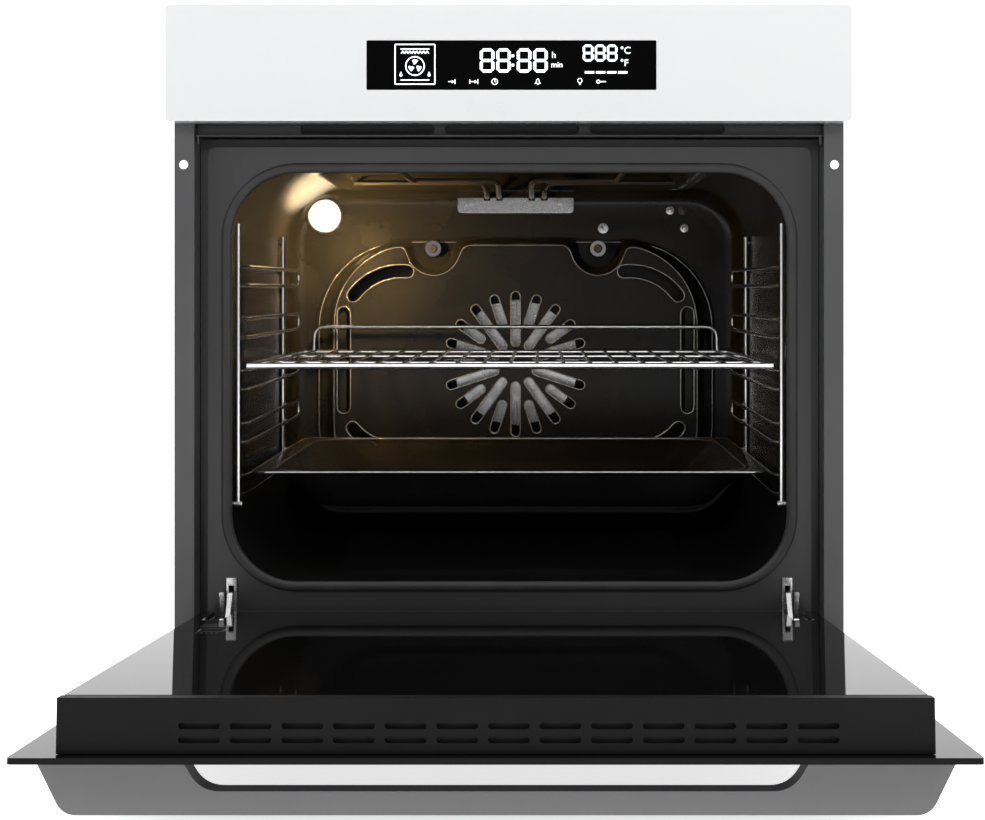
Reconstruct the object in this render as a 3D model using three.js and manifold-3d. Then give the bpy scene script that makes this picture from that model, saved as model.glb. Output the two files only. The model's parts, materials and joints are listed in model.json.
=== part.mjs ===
// A built-in electric oven: sheet-metal carcass, enamelled cavity, convection and cooling fans,
// wire shelf, baking tray and a drop-down glass door with a bridge handle.
// Millimetres. X runs to the right, Y into the oven and Z up.
// The origin is the centre of the carcass underside.

import * as THREE from 'three';
import Module from 'manifold-3d';
import { mergeVertices } from 'three/addons/utils/BufferGeometryUtils.js';

const wasm = await Module();
wasm.setup();

// ---------------------------------------------------------------- driving dimensions

const GAP = 0.3;
const SHEET = 1.2;

const FRONT_HALF = 297.5;
const FRONT_TOP = 595;
const FRONT_Y = -296;

const CARCASS_HALF = 278;
const CARCASS_FRONT = -272;
const CARCASS_BACK = 271;
const CARCASS_TOP = 589.5;

const FASCIA_BOTTOM = 494;
const FASCIA_BACK = -275;
const DISPLAY = { left: -123, right: 128, bottom: 521, top: 564 };

const COLUMN_HALF = 294;
const FACE_Y = -254;
const FACE = { half: 268.5, bottom: 44, top: 475, corner: 8 };
const CHANNEL_Y = -244;
const OPENING = { half: 247, bottom: 87.5, top: 454.7, corner: 60 };
const GASKET = { half: 256.5, bottom: 79.5, top: 461, corner: 68 };

const CAVITY = { half: 250, bottom: 86, top: 458, corner: 58 };
const CAVITY_BACK = 143;
const FAN_POCKET = { half: 190, bottom: 150, top: 390, corner: 60, back: 185 };

const FAN_CENTRE_Z = 265;
const COVER = { half: 224, bottom: 125, top: 404, corner: 80, front: 135 };
const COVER_SCREW = { x: 92, z: 394 };

const RUNG_LEVELS = [369, 321.5, 274, 226, 179];
const RUNG_DROP = 17;
const RACK_FRONT = -229;
const SHELF_LEVEL = 2;
const TRAY_LEVEL = 4;

const LAMP = { x: -214, z: 431 };
const GRILL_Z = 444;

const HINGE_X = 247;
const HINGE_Y = -286;
const HINGE_Z = 38;
const DOOR_OPEN_DEG = 86;
const DOOR_HALF = 270;
const DOOR_BOTTOM = 26;
const DOOR_TOP = 490;
const RAIL_TOP = 480;
const VENT_CENTRE = 8;
const DOOR_INNER_Y = -257.4;
const OUTER_GLASS_BACK = -292;

// ---------------------------------------------------------------- solids

function solid(geometry) {
  const plain = geometry.index ? geometry.toNonIndexed() : geometry.clone();
  plain.deleteAttribute('normal');
  plain.deleteAttribute('uv');
  const merged = mergeVertices(plain, 1e-4);
  return new wasm.Manifold(new wasm.Mesh({
    numProp: 3,
    vertProperties: new Float32Array(merged.attributes.position.array),
    triVerts: new Uint32Array(merged.index.array),
  }));
}

function geometryOf(body) {
  const mesh = body.getMesh();
  const geometry = new THREE.BufferGeometry();
  geometry.setAttribute('position', new THREE.BufferAttribute(new Float32Array(mesh.vertProperties), 3));
  geometry.setIndex(new THREE.BufferAttribute(new Uint32Array(mesh.triVerts), 1));
  const faceted = geometry.toNonIndexed();
  faceted.computeVertexNormals();
  return faceted;
}

function join(...bodies) {
  return bodies.reduce((whole, body) => whole.add(body));
}

function cut(body, ...tools) {
  return tools.reduce((rest, tool) => rest.subtract(tool), body);
}

function box(xa, xb, ya, yb, za, zb) {
  const geometry = new THREE.BoxGeometry(Math.abs(xb - xa), Math.abs(yb - ya), Math.abs(zb - za));
  geometry.translate((xa + xb) / 2, (ya + yb) / 2, (za + zb) / 2);
  return solid(geometry);
}

// A cylinder between two points.
function rod(from, to, radius, sides = 12) {
  const start = new THREE.Vector3(...from);
  const end = new THREE.Vector3(...to);
  const along = end.clone().sub(start);
  const geometry = new THREE.CylinderGeometry(radius, radius, along.length(), sides);
  const direction = along.clone().normalize();
  const turn = new THREE.Quaternion().setFromUnitVectors(new THREE.Vector3(0, 1, 0), direction);
  geometry.applyQuaternion(turn);
  geometry.translate(...start.add(end).multiplyScalar(0.5).toArray());
  return solid(geometry);
}

// A shape drawn in X and Z, given thickness from yFront to yBack.
function plateXZ(shape, yFront, yBack, arcSteps = 5) {
  const geometry = new THREE.ExtrudeGeometry(shape, {
    depth: yBack - yFront, bevelEnabled: false, curveSegments: arcSteps,
  });
  geometry.rotateX(Math.PI / 2);
  geometry.translate(0, yBack, 0);
  return solid(geometry);
}

// A shape drawn in X and Y, given height from zLow to zHigh.
function plateXY(shape, zLow, zHigh, arcSteps = 5) {
  const geometry = new THREE.ExtrudeGeometry(shape, {
    depth: zHigh - zLow, bevelEnabled: false, curveSegments: arcSteps,
  });
  geometry.translate(0, 0, zLow);
  return solid(geometry);
}

// A shape drawn in Y and Z, given width from xLow to xHigh.
function plateYZ(shape, xLow, xHigh, arcSteps = 5) {
  const geometry = new THREE.ExtrudeGeometry(shape, {
    depth: xHigh - xLow, bevelEnabled: false, curveSegments: arcSteps,
  });
  const axes = new THREE.Matrix4().makeBasis(
    new THREE.Vector3(0, 1, 0), new THREE.Vector3(0, 0, 1), new THREE.Vector3(1, 0, 0));
  geometry.applyMatrix4(axes);
  geometry.translate(xLow, 0, 0);
  return solid(geometry);
}

// ---------------------------------------------------------------- outlines

function polygon(points) {
  return new THREE.Shape(points.map(([u, v]) => new THREE.Vector2(u, v)));
}

// A polygon whose corners are rounded: each point is [u, v, cornerRadius].
function softPolygon(points) {
  const shape = new THREE.Shape();
  points.forEach(([u, v, radius], i) => {
    const corner = new THREE.Vector2(u, v);
    const [pu, pv] = points[(i + points.length - 1) % points.length];
    const [nu, nv] = points[(i + 1) % points.length];
    const back = new THREE.Vector2(pu, pv).sub(corner).normalize();
    const ahead = new THREE.Vector2(nu, nv).sub(corner).normalize();
    const halfAngle = Math.acos(THREE.MathUtils.clamp(back.dot(ahead), -1, 1)) / 2;
    const reach = radius / Math.tan(halfAngle);
    const enter = corner.clone().addScaledVector(back, reach);
    const leave = corner.clone().addScaledVector(ahead, reach);
    if (i === 0) shape.moveTo(enter.x, enter.y);
    else shape.lineTo(enter.x, enter.y);
    if (radius > 0) shape.quadraticCurveTo(u, v, leave.x, leave.y);
  });
  shape.closePath();
  return shape;
}

function roundedRect(left, right, bottom, top, radius) {
  const shape = new THREE.Shape();
  shape.moveTo(left + radius, bottom);
  shape.lineTo(right - radius, bottom);
  shape.absarc(right - radius, bottom + radius, radius, -Math.PI / 2, 0, false);
  shape.lineTo(right, top - radius);
  shape.absarc(right - radius, top - radius, radius, 0, Math.PI / 2, false);
  shape.lineTo(left + radius, top);
  shape.absarc(left + radius, top - radius, radius, Math.PI / 2, Math.PI, false);
  shape.lineTo(left, bottom + radius);
  shape.absarc(left + radius, bottom + radius, radius, Math.PI, 1.5 * Math.PI, false);
  return shape;
}

function frameRect(frame, grow = 0) {
  return roundedRect(-frame.half - grow, frame.half + grow, frame.bottom - grow, frame.top + grow,
    frame.corner + grow);
}

// A slot with round ends, between two end centres.
function slot(from, to, width) {
  const radius = width / 2;
  const heading = Math.atan2(to[1] - from[1], to[0] - from[0]);
  const shape = new THREE.Shape();
  shape.absarc(to[0], to[1], radius, heading - Math.PI / 2, heading + Math.PI / 2, false);
  shape.absarc(from[0], from[1], radius, heading + Math.PI / 2, heading + 1.5 * Math.PI, false);
  return shape;
}

// ---------------------------------------------------------------- bent wire

// A path through exact corner points, so an extruded wire gets one ring at each of them.
class WirePath extends THREE.Curve {
  constructor(points) {
    super();
    this.points = points;
  }

  getPoint(t, target = new THREE.Vector3()) {
    const place = t * (this.points.length - 1);
    const i = Math.min(Math.floor(place + 1e-6), this.points.length - 2);
    return target.lerpVectors(this.points[i], this.points[i + 1], place - i);
  }

  getPointAt(t, target) {
    return this.getPoint(t, target);
  }

  getTangentAt(t, target = new THREE.Vector3()) {
    const i = Math.round(t * (this.points.length - 1));
    const before = this.points[Math.max(i - 1, 0)];
    const here = this.points[i];
    const after = this.points[Math.min(i + 1, this.points.length - 1)];
    const arriving = here.clone().sub(before).normalize();
    const leaving = after.clone().sub(here).normalize();
    return target.copy(arriving.add(leaving)).normalize();
  }
}

// Bent wire: straight runs between corners, each corner rounded to bendRadius.
function wire(corners, radius, bendRadius = 0, sides = 8, bendSteps = 3) {
  const corner = corners.map((c) => new THREE.Vector3(...c));
  const points = [corner[0]];
  for (let i = 1; i < corner.length - 1; i += 1) {
    const back = corner[i - 1].clone().sub(corner[i]);
    const ahead = corner[i + 1].clone().sub(corner[i]);
    const reach = Math.min(bendRadius, back.length() / 2, ahead.length() / 2);
    const enter = corner[i].clone().addScaledVector(back.normalize(), reach);
    const leave = corner[i].clone().addScaledVector(ahead.normalize(), reach);
    const bend = new THREE.QuadraticBezierCurve3(enter, corner[i], leave);
    if (reach > 0) points.push(...bend.getPoints(bendSteps));
    else points.push(corner[i]);
  }
  points.push(corner[corner.length - 1]);
  const section = new THREE.Shape();
  section.absarc(0, 0, radius, 0, 2 * Math.PI, false);
  const geometry = new THREE.ExtrudeGeometry(section, {
    steps: points.length - 1, curveSegments: sides / 2, extrudePath: new WirePath(points),
  });
  return solid(geometry);
}

// ---------------------------------------------------------------- carcass

function basePlate() {
  const outer = box(-276.5, 276.5, -268, 268, 0, 14);
  const hollow = box(-276.5 + SHEET, 276.5 - SHEET, -268 + SHEET, 268 - SHEET, SHEET, 20);
  const vents = [-180, -60, 60, 180].map((x) => box(x - 40, x + 40, 150, 158, -1, 5));
  return cut(outer, hollow, ...vents);
}

function sidePanel(side) {
  const outer = side * CARCASS_HALF;
  const inner = side * (CARCASS_HALF - SHEET);
  const bentSheet = polygon([
    [outer, CARCASS_FRONT], [outer, 269.5], [side * 264, 269.5], [side * 264, 269.5 - SHEET],
    [inner, 269.5 - SHEET], [inner, CARCASS_FRONT]]);
  const louvres = [];
  for (let row = 0; row < 6; row += 1) {
    const z = 60 + row * 14;
    louvres.push(box(side * 270, side * 285, 140, 230, z, z + 5));
  }
  return cut(plateXY(bentSheet, 0.5, 589), ...louvres);
}

function topCover() {
  const sheet = box(-276.5, 276.5, CARCASS_FRONT, 268, CARCASS_TOP - SHEET, CARCASS_TOP);
  const edges = [-1, 1].map((side) => box(side * (276.5 - SHEET), side * 276.5, CARCASS_FRONT, 268, 576,
    CARCASS_TOP));
  const inlets = [];
  for (let i = -4; i <= 4; i += 1) inlets.push(box(i * 14 - 3, i * 14 + 3, 80, 150, 580, 595));
  return cut(join(sheet, ...edges), ...inlets);
}

function rearCover() {
  const sheet = box(-277.5, 277.5, CARCASS_BACK - SHEET, CARCASS_BACK, 0.5, 589);
  const vents = [];
  for (let row = 0; row < 5; row += 1) {
    for (const x of [-150, 0, 150]) vents.push(box(x - 45, x + 45, 260, 280, 60 + row * 14, 65 + row * 14));
  }
  const inletHole = rod([200, 260, 540], [200, 280, 540], 13, 16);
  return cut(sheet, inletHole, ...vents);
}

// The visible mounting column: a flange with a screw hole, a lip at its outer edge and a web
// that runs back along the side panel.
function frontColumn(side) {
  const inner = CARCASS_HALF - SHEET;
  const front = FASCIA_BACK + 1.1;
  const flange = box(side * inner, side * COLUMN_HALF, front, front + 1.4, 25, 588);
  const lip = box(side * (COLUMN_HALF - SHEET), side * COLUMN_HALF, front, front + 10, 25, 588);
  const web = box(side * (CARCASS_HALF + GAP), side * (CARCASS_HALF + GAP + SHEET), front, -240, 25, 588);
  const screwHole = rod([side * 286, -280, 458], [side * 286, -265, 458], 4, 16);
  return cut(join(flange, lip, web), screwHole);
}

function lowerTrim() {
  const shell = cut(box(-COLUMN_HALF, COLUMN_HALF, -287, -272.5, 1, 21),
    box(-COLUMN_HALF - 1, COLUMN_HALF + 1, -287 + SHEET, -270, 1 + SHEET, 21 - SHEET));
  const slots = [];
  for (let i = -4; i <= 4; i += 1) slots.push(box(i * 60 - 24, i * 60 + 24, -290, -284, 9, 13));
  return cut(shell, ...slots);
}

// The dark face between the columns: a raised plate round the opening, standing proud of a
// channel floor.
function faceFrame() {
  const floor = new THREE.Shape([
    new THREE.Vector2(-276.4, 16), new THREE.Vector2(276.4, 16),
    new THREE.Vector2(276.4, 482.5), new THREE.Vector2(-276.4, 482.5)]);
  floor.holes.push(frameRect(FACE, -SHEET));
  const walls = frameRect(FACE);
  walls.holes.push(frameRect(FACE, -SHEET));
  const face = frameRect(FACE);
  face.holes.push(frameRect(OPENING));
  let body = join(
    plateXZ(floor, CHANNEL_Y - SHEET, CHANNEL_Y, 2),
    plateXZ(walls, FACE_Y, CHANNEL_Y, 2),
    plateXZ(face, FACE_Y, FACE_Y + SHEET, 4));
  for (const side of [-1, 1]) {
    body = cut(body, box(side * 243.4, side * 250.6, -260, -240, 51, 87));
  }
  return body;
}

function cavityGasket() {
  const ring = frameRect(GASKET);
  ring.holes.push(frameRect(OPENING));
  return plateXZ(ring, FACE_Y - GAP - 2.7, FACE_Y - GAP, 4);
}

// Vent plate under the fascia, with three air outlets and a ledge below them.
function ventPlate() {
  const plate = box(-276.3, 276.3, -262, -262 + SHEET, 483, 512);
  const ledge = box(-276.3, 276.3, -271, -260.8, 483, 483 + SHEET);
  const tabs = [-1, 1].map((side) => box(side * 273, side * 274.5, -271, -261, 476, 484));
  const outlets = [[-185, -66], [-57, 62], [71, 191]].map(([left, right]) => plateXZ(
    slot([left + 5, 490.5], [right - 5, 490.5], 10), -265, -258));
  return cut(join(plate, ledge, ...tabs), ...outlets);
}

// ---------------------------------------------------------------- cavity

function cavityLiner() {
  const outer = frameRect(CAVITY, SHEET);
  const inner = frameRect(CAVITY);
  const pocketOuter = frameRect(FAN_POCKET, SHEET);
  const pocketInner = frameRect(FAN_POCKET);
  const shell = join(
    plateXZ(outer, FACE_Y + SHEET + GAP, CAVITY_BACK + SHEET, 4),
    plateXZ(pocketOuter, CAVITY_BACK, FAN_POCKET.back, 3),
    plateXY(roundedRect(-221, 221, -196, 126, 60), 440, 475, 3));
  const hollow = join(
    plateXZ(inner, FACE_Y - 10, CAVITY_BACK, 4),
    plateXZ(pocketInner, CAVITY_BACK - 1, FAN_POCKET.back - SHEET, 3),
    plateXY(roundedRect(-220, 220, -195, 125, 59), 430, 474, 3));
  const through = (x, z, radius, sides = 8) => rod([x, 138, z], [x, 190, z], radius, sides);
  return cut(shell, hollow,
    through(LAMP.x, LAMP.z, 14, 14),
    through(98, 417, 4),
    through(0, FAN_CENTRE_Z, 9, 12),
    ...[-32, -18, 18, 32].map((x) => through(x, 452, 3.7)),
    ...[-9, 9].map((x) => through(x, 364, 3.7)));
}

function insulationBlanket() {
  const outer = roundedRect(-274, 274, 48, 483, 30);
  outer.holes.push(roundedRect(-252, 252, 68, 476.5, 24));
  return plateXZ(outer, -200, 140, 2);
}

// The fan cover: a dished plate with a starburst of slots, side slots and curved corner slots.
function fanCover() {
  const outline = (grow) => {
    const left = -COVER.half - grow;
    const right = COVER.half + grow;
    return roundedRect(left, right, COVER.bottom - grow, COVER.top + grow, COVER.corner + grow);
  };
  const rim = outline(0);
  rim.holes.push(outline(-SHEET));
  let body = join(
    plateXZ(outline(0), COVER.front, COVER.front + SHEET, 4),
    plateXZ(rim, COVER.front, CAVITY_BACK - GAP, 4));
  const tools = [];
  for (let i = 0; i < 18; i += 1) {
    const angle = THREE.MathUtils.degToRad(90 + i * 20);
    const inner = i % 2 === 0 ? 26 : 47;
    const from = [Math.cos(angle) * inner, FAN_CENTRE_Z + Math.sin(angle) * inner];
    const to = [Math.cos(angle) * 75, FAN_CENTRE_Z + Math.sin(angle) * 75];
    tools.push(plateXZ(slot(from, to, i % 2 === 0 ? 9.5 : 12), 130, 140, 1));
  }
  for (const side of [-1, 1]) {
    tools.push(plateXZ(slot([side * 192, 217], [side * 192, 322], 17), 130, 140, 2));
    tools.push(plateXZ(slot([side * 128, 371], [side * 168, 362], 16), 130, 140, 2));
    tools.push(plateXZ(slot([side * 168, 362], [side * 190, 340], 16), 130, 140, 2));
    tools.push(plateXZ(slot([side * 142, 172], [side * 178, 196], 16), 130, 140, 2));
    tools.push(rod([side * COVER_SCREW.x, 130, COVER_SCREW.z], [side * COVER_SCREW.x, 140, COVER_SCREW.z],
      3, 10));
  }
  body = cut(body, ...tools);
  return body;
}

function coverScrew(side) {
  const x = side * COVER_SCREW.x;
  const z = COVER_SCREW.z;
  const washer = rod([x, COVER.front - 2, z], [x, COVER.front - GAP, z], 9, 16);
  const head = rod([x, COVER.front - 5, z], [x, COVER.front - 2, z], 5, 12);
  const shank = rod([x, COVER.front - 2, z], [x, CAVITY_BACK - GAP, z], 2.5, 10);
  return join(washer, head, shank);
}

// ---------------------------------------------------------------- heating, light and sensing

function grillPlate() {
  const outline = softPolygon([[-65, 434, 5], [65, 434, 5], [65, 454, 0], [-65, 454, 0]]);
  const plate = plateXZ(outline, 140.7, 142.7, 3);
  const notches = [-32, -18, 18, 32].map((x) => box(x - 3.7, x + 3.7, 135, 145, 448, 456));
  const screws = [-1, 1].map((side) => rod([side * 49.5, 138.5, 446], [side * 49.5, 142, 446], 3.6, 10));
  return join(cut(plate, ...notches), ...screws);
}

function grillElement(terminalX, halfWidth, frontY, backY) {
  const z = 465;
  return wire([
    [-terminalX, 172, 452], [-terminalX, 112, 452], [-terminalX, backY, z], [-halfWidth, backY, z],
    [-halfWidth, frontY, z], [halfWidth, frontY, z], [halfWidth, backY, z],
    [terminalX, backY, z], [terminalX, 112, 452], [terminalX, 172, 452]], 3, 12, 6, 2);
}

function ringElement() {
  const corners = [];
  const start = THREE.MathUtils.degToRad(95);
  const sweep = THREE.MathUtils.degToRad(350);
  const turns = 24;
  corners.push([-9, 200, 364], [-9, 165, 364]);
  for (let i = 0; i <= turns; i += 1) {
    const angle = start + (sweep * i) / turns;
    corners.push([Math.cos(angle) * 100, 165, FAN_CENTRE_Z + Math.sin(angle) * 100]);
  }
  corners.push([9, 165, 364], [9, 200, 364]);
  const tidy = corners.filter((c, i) => i !== 2 && i !== corners.length - 3);
  return wire(tidy, 3.2, 0, 6);
}

function bottomElement() {
  const z = 76;
  return wire([
    [-25, 175, z], [-25, 110, z], [-170, 110, z], [-170, -150, z], [-60, -150, z], [-60, 60, z],
    [60, 60, z], [60, -150, z], [170, -150, z], [170, 110, z], [25, 110, z], [25, 175, z]], 3.2, 24, 6, 2);
}

function lampSocket() {
  const barrel = rod([LAMP.x, 146, LAMP.z], [LAMP.x, 182, LAMP.z], 18, 16);
  const bore = rod([LAMP.x, 140, LAMP.z], [LAMP.x, 176, LAMP.z], 12, 16);
  return cut(barrel, bore);
}

// A solid turned about a line along Y: each profile point is [radius, distance from startY].
function turned(profile, x, startY, z, sides = 12) {
  const geometry = new THREE.LatheGeometry(profile.map(([r, h]) => new THREE.Vector2(r, h)), sides);
  geometry.translate(x, startY, z);
  return solid(geometry);
}

function lampBulb() {
  return turned([[0, 0], [4, 1.5], [6.2, 6], [6.2, 22], [8.5, 26], [8.5, 42], [0, 42]], LAMP.x, 131, LAMP.z);
}

function lampGlass() {
  const outside = [[0, 0], [9, 1.5], [15, 7], [17.5, 15], [17.5, 19]];
  const inside = [[15.5, 19], [15.5, 15], [13.5, 9], [8, 3.6], [0, 2.2]];
  return turned([...outside, ...inside], LAMP.x, 123.5, LAMP.z, 12);
}

function temperatureProbe() {
  const stem = rod([98, 95, 417], [98, 168, 417], 2.5, 10);
  const collar = rod([98, 139.5, 417], [98, 142.5, 417], 6, 12);
  return join(stem, collar);
}

// ---------------------------------------------------------------- racks, shelf and tray

function sideRack(side) {
  const outX = 246;
  const inX = 239.5;
  const post = (y, low, high) => rod([side * outX, y, low], [side * outX, y, high], 2.2, 6);
  const pieces = [post(RACK_FRONT, 152, 408), post(40, 158, 404), post(47, 158, 404)];
  for (const level of RUNG_LEVELS) {
    const low = level - RUNG_DROP;
    pieces.push(wire([
      [side * outX, RACK_FRONT, level], [side * inX, RACK_FRONT + 14, level],
      [side * inX, 112, level], [side * inX, 112, low],
      [side * inX, RACK_FRONT + 14, low], [side * outX, RACK_FRONT, low]], 2, 5, 6, 1));
    for (const z of [level, low]) {
      pieces.push(rod([side * inX, 43.5, z], [side * outX, 43.5, z], 1.8, 4));
    }
  }
  const bridge = rod([side * outX, 38, 300], [side * outX, 49, 300], 1.6, 4);
  const foot = rod([side * (outX - 4), RACK_FRONT, 154], [side * 249.5, RACK_FRONT, 154], 3.4, 10);
  const upperPin = rod([side * outX, 43.5, 398], [side * 249.5, 43.5, 398], 3.2, 10);
  return join(...pieces, bridge, foot, upperPin);
}

function wireShelf() {
  const half = 238.5;
  const z = RUNG_LEVELS[SHELF_LEVEL] + 2 + GAP + 2.6;
  const front = RACK_FRONT + 4;
  const back = 128;
  const frame = [
    wire([[0, front, z], [half, front, z], [half, back, z], [0, back, z]], 2.6, 14, 6, 2),
    wire([[0, front, z], [-half, front, z], [-half, back, z], [0, back, z]], 2.6, 14, 6, 2),
    rod([-half, front + 90, z - 1], [half, front + 90, z - 1], 2.2, 6),
    rod([-half, front + 250, z - 1], [half, front + 250, z - 1], 2.2, 6)];
  const guardPath = [
    [-224, back - 3, z],
    [-224, back - 3, z + 28],
    [224, back - 3, z + 28],
    [224, back - 3, z]];
  const guard = wire(guardPath, 2.4, 14, 6, 2);
  const wires = [];
  for (let i = 0; i < 19; i += 1) {
    const x = (i - 9) * 24.6;
    wires.push(rod([x, front, z + 1.2], [x, back, z + 1.2], 1.7, 4));
  }
  return join(...frame, guard, ...wires);
}

// A tray with sloping walls and a flat rim: each solid is a rounded plate whose outline grows
// with height.
function trayBlock(half, front, back, corner, low, high, slope) {
  const shape = roundedRect(-half, half, front, back, corner);
  const settings = { depth: high - low, bevelEnabled: false, curveSegments: 3 };
  const geometry = new THREE.ExtrudeGeometry(shape, settings);
  const place = geometry.attributes.position;
  const midY = (front + back) / 2;
  const halfDepth = (back - front) / 2;
  for (let i = 0; i < place.count; i += 1) {
    const rise = place.getZ(i) / (high - low);
    const grow = slope * rise;
    place.setX(i, place.getX(i) * (1 + grow / half));
    place.setY(i, midY + (place.getY(i) - midY) * (1 + grow / halfDepth));
  }
  geometry.translate(0, 0, low);
  return solid(geometry);
}

function bakingTray() {
  const rimLow = RUNG_LEVELS[TRAY_LEVEL] + 2 + GAP;
  const rimHigh = rimLow + 2.2;
  const low = 146.5;
  const front = RACK_FRONT + 36;
  const back = 98;
  const bowl = trayBlock(188, front, back, 36, low, rimHigh, 32);
  const inside = trayBlock(187, front + 1, back - 1, 35, low + 1.4, rimHigh + 1.4, 32);
  const rim = plateXY(roundedRect(-236, 236, RACK_FRONT + 2, 132, 16), rimLow, rimHigh, 2);
  return cut(join(bowl, rim), inside);
}

// ---------------------------------------------------------------- fans

function convectionFan() {
  const z = FAN_CENTRE_Z;
  const disc = rod([0, 172, z], [0, 173.5, z], 72, 16);
  const hub = rod([0, 150, z], [0, 173.5, z], 9, 12);
  const bore = rod([0, 140, z], [0, 180, z], 4.4, 12);
  const blades = [];
  for (let i = 0; i < 12; i += 1) {
    const blade = new THREE.BoxGeometry(26, 20, 1.6);
    blade.translate(57, 162.5, 0);
    blade.rotateY(THREE.MathUtils.degToRad(i * 30));
    blade.translate(0, 0, z);
    blades.push(solid(blade));
  }
  return cut(join(disc, hub, ...blades), bore);
}

function fanMotor() {
  const z = FAN_CENTRE_Z;
  const plate = box(-55, 55, 185.4, 187, z - 12, z + 12);
  const can = rod([0, 186, z], [0, 232, z], 34, 20);
  const shaft = rod([0, 152, z], [0, 186, z], 4, 12);
  return join(plate, can, shaft);
}

const BLOWER = { y: 115, low: 486, high: 526, radius: 72 };

function airDuct() {
  const outer = box(-150, 150, -257, 40, BLOWER.low, BLOWER.high);
  const inner = box(-150 + SHEET, 150 - SHEET, -260, 50, BLOWER.low + SHEET, BLOWER.high - SHEET);
  return cut(outer, inner);
}

function blowerHousing() {
  const { y, low, high, radius } = BLOWER;
  const outer = join(rod([0, y, low], [0, y, high], radius, 20), box(-radius, radius, 40.3, y, low, high));
  const inner = join(
    rod([0, y, low + SHEET], [0, y, high - SHEET], radius - SHEET, 20),
    box(-radius + SHEET, radius - SHEET, 30, y, low + SHEET, high - SHEET));
  const inlet = rod([0, y, high - 5], [0, y, high + 5], 44, 16);
  return cut(outer, inner, inlet);
}

function coolingImpeller() {
  const { y, low } = BLOWER;
  const disc = rod([0, y, low + 5], [0, y, low + 6.5], 56, 16);
  const hub = rod([0, y, low + 5], [0, y, low + 26], 9, 12);
  const bore = rod([0, y, low], [0, y, low + 30], 4.4, 12);
  const blades = [];
  for (let i = 0; i < 16; i += 1) {
    const blade = new THREE.BoxGeometry(14, 1.4, 26);
    blade.translate(48, 0, low + 18);
    blade.rotateZ(THREE.MathUtils.degToRad(i * 22.5));
    blade.translate(0, y, 0);
    blades.push(solid(blade));
  }
  return cut(join(disc, hub, ...blades), bore);
}

function coolingMotor() {
  const { y, low, high } = BLOWER;
  const bracket = box(-62, 62, y - 8, y + 8, high + GAP, high + 2.3);
  const can = rod([0, y, high + 1], [0, y, high + 36], 30, 20);
  const shaft = rod([0, y, low + 8], [0, y, high + 1], 4, 12);
  return join(bracket, can, shaft);
}

function mainsInlet() {
  const body = box(178, 222, 255, 269.5, 518, 562);
  const gland = rod([200, 262, 540], [200, 276, 540], 12.5, 16);
  const bore = rod([200, 262, 540], [200, 280, 540], 5, 12);
  return cut(join(body, gland), bore);
}

// ---------------------------------------------------------------- control panel

function controlFascia() {
  const outline = roundedRect(-FRONT_HALF, FRONT_HALF, FASCIA_BOTTOM, FRONT_TOP, 4);
  const hollow = roundedRect(-FRONT_HALF + 4, FRONT_HALF - 4, FASCIA_BOTTOM + 4, FRONT_TOP - 4, 2);
  const window = roundedRect(DISPLAY.left, DISPLAY.right, DISPLAY.bottom, DISPLAY.top, 1);
  return cut(
    plateXZ(outline, FRONT_Y, FASCIA_BACK, 2),
    plateXZ(hollow, FRONT_Y + 5, FASCIA_BACK + 5, 1),
    plateXZ(window, FRONT_Y - 5, FRONT_Y + 10, 1));
}

function displayWindow() {
  const { left, right, bottom, top } = DISPLAY;
  const outline = roundedRect(left + GAP, right - GAP, bottom + GAP, top - GAP, 0.8);
  return plateXZ(outline, FRONT_Y, FRONT_Y + 5, 1);
}

function controlCarrier() {
  const frame = box(-292.5, 292.5, -290.5, -277, 499, 590);
  const hollow = box(-290, 290, -288.5, -270, 501, 588);
  const window = box(-128, 133, -300, -280, 503, 569);
  return cut(frame, hollow, window);
}

function controlModule() {
  const board = box(-127, 132, -286, -278, 504, 568);
  const backlight = box(-120, 125, -290.5, -286, 523, 562);
  const touchKeys = box(-104, 114, -290.5, -286, 504, 511);
  return join(board, backlight, touchKeys);
}

// ---------------------------------------------------------------- door hinges

function hingeReceiver(side) {
  const plate = box(side * 242.5, side * 251.5, -256, FACE_Y - GAP, 46, 92);
  const channel = box(side * 243.7, side * 250.3, -256, -208, 51.5, 86.5);
  const slotHole = box(side * 244.6, side * 249.4, -260, -200, 53, 85);
  const stub = rod([side * 250.8, -257.5, 54], [side * 257.6, -257.5, 54], 1.8, 10);
  return join(cut(join(plate, channel), slotHole), stub);
}

function hingeArm(side) {
  const outline = softPolygon([
    [-289, 41, 1], [-272, 66, 3], [-263, 80, 3], [-218, 80, 2], [-218, 58, 2], [-226, 58, 1],
    [-230, 70, 2], [-252, 70, 3], [-262, 58, 4], [-283, 36, 1]]);
  const boss = rod([side * 245, HINGE_Y, HINGE_Z], [side * 249, HINGE_Y, HINGE_Z], 4.5, 14);
  const bore = rod([side * 240, HINGE_Y, HINGE_Z], [side * 255, HINGE_Y, HINGE_Z], 2.9, 14);
  const low = Math.min(side * 245, side * 249);
  return cut(join(plateYZ(outline, low, low + 4, 3), boss), bore);
}

function hingeLatch(side) {
  const y = -257.5;
  const boss = rod([side * 252.7, y, 54], [side * 256.8, y, 54], 3.2, 14);
  const lever = box(side * 252.7, side * 256.8, y - 2.2, y + 2.2, 54, 80);
  const tip = box(side * 252.7, side * 256.8, y - 4.5, y + 2.2, 76, 80);
  const bore = rod([side * 250, y, 54], [side * 260, y, 54], 2.1, 14);
  return cut(join(boss, lever, tip), bore);
}

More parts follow.
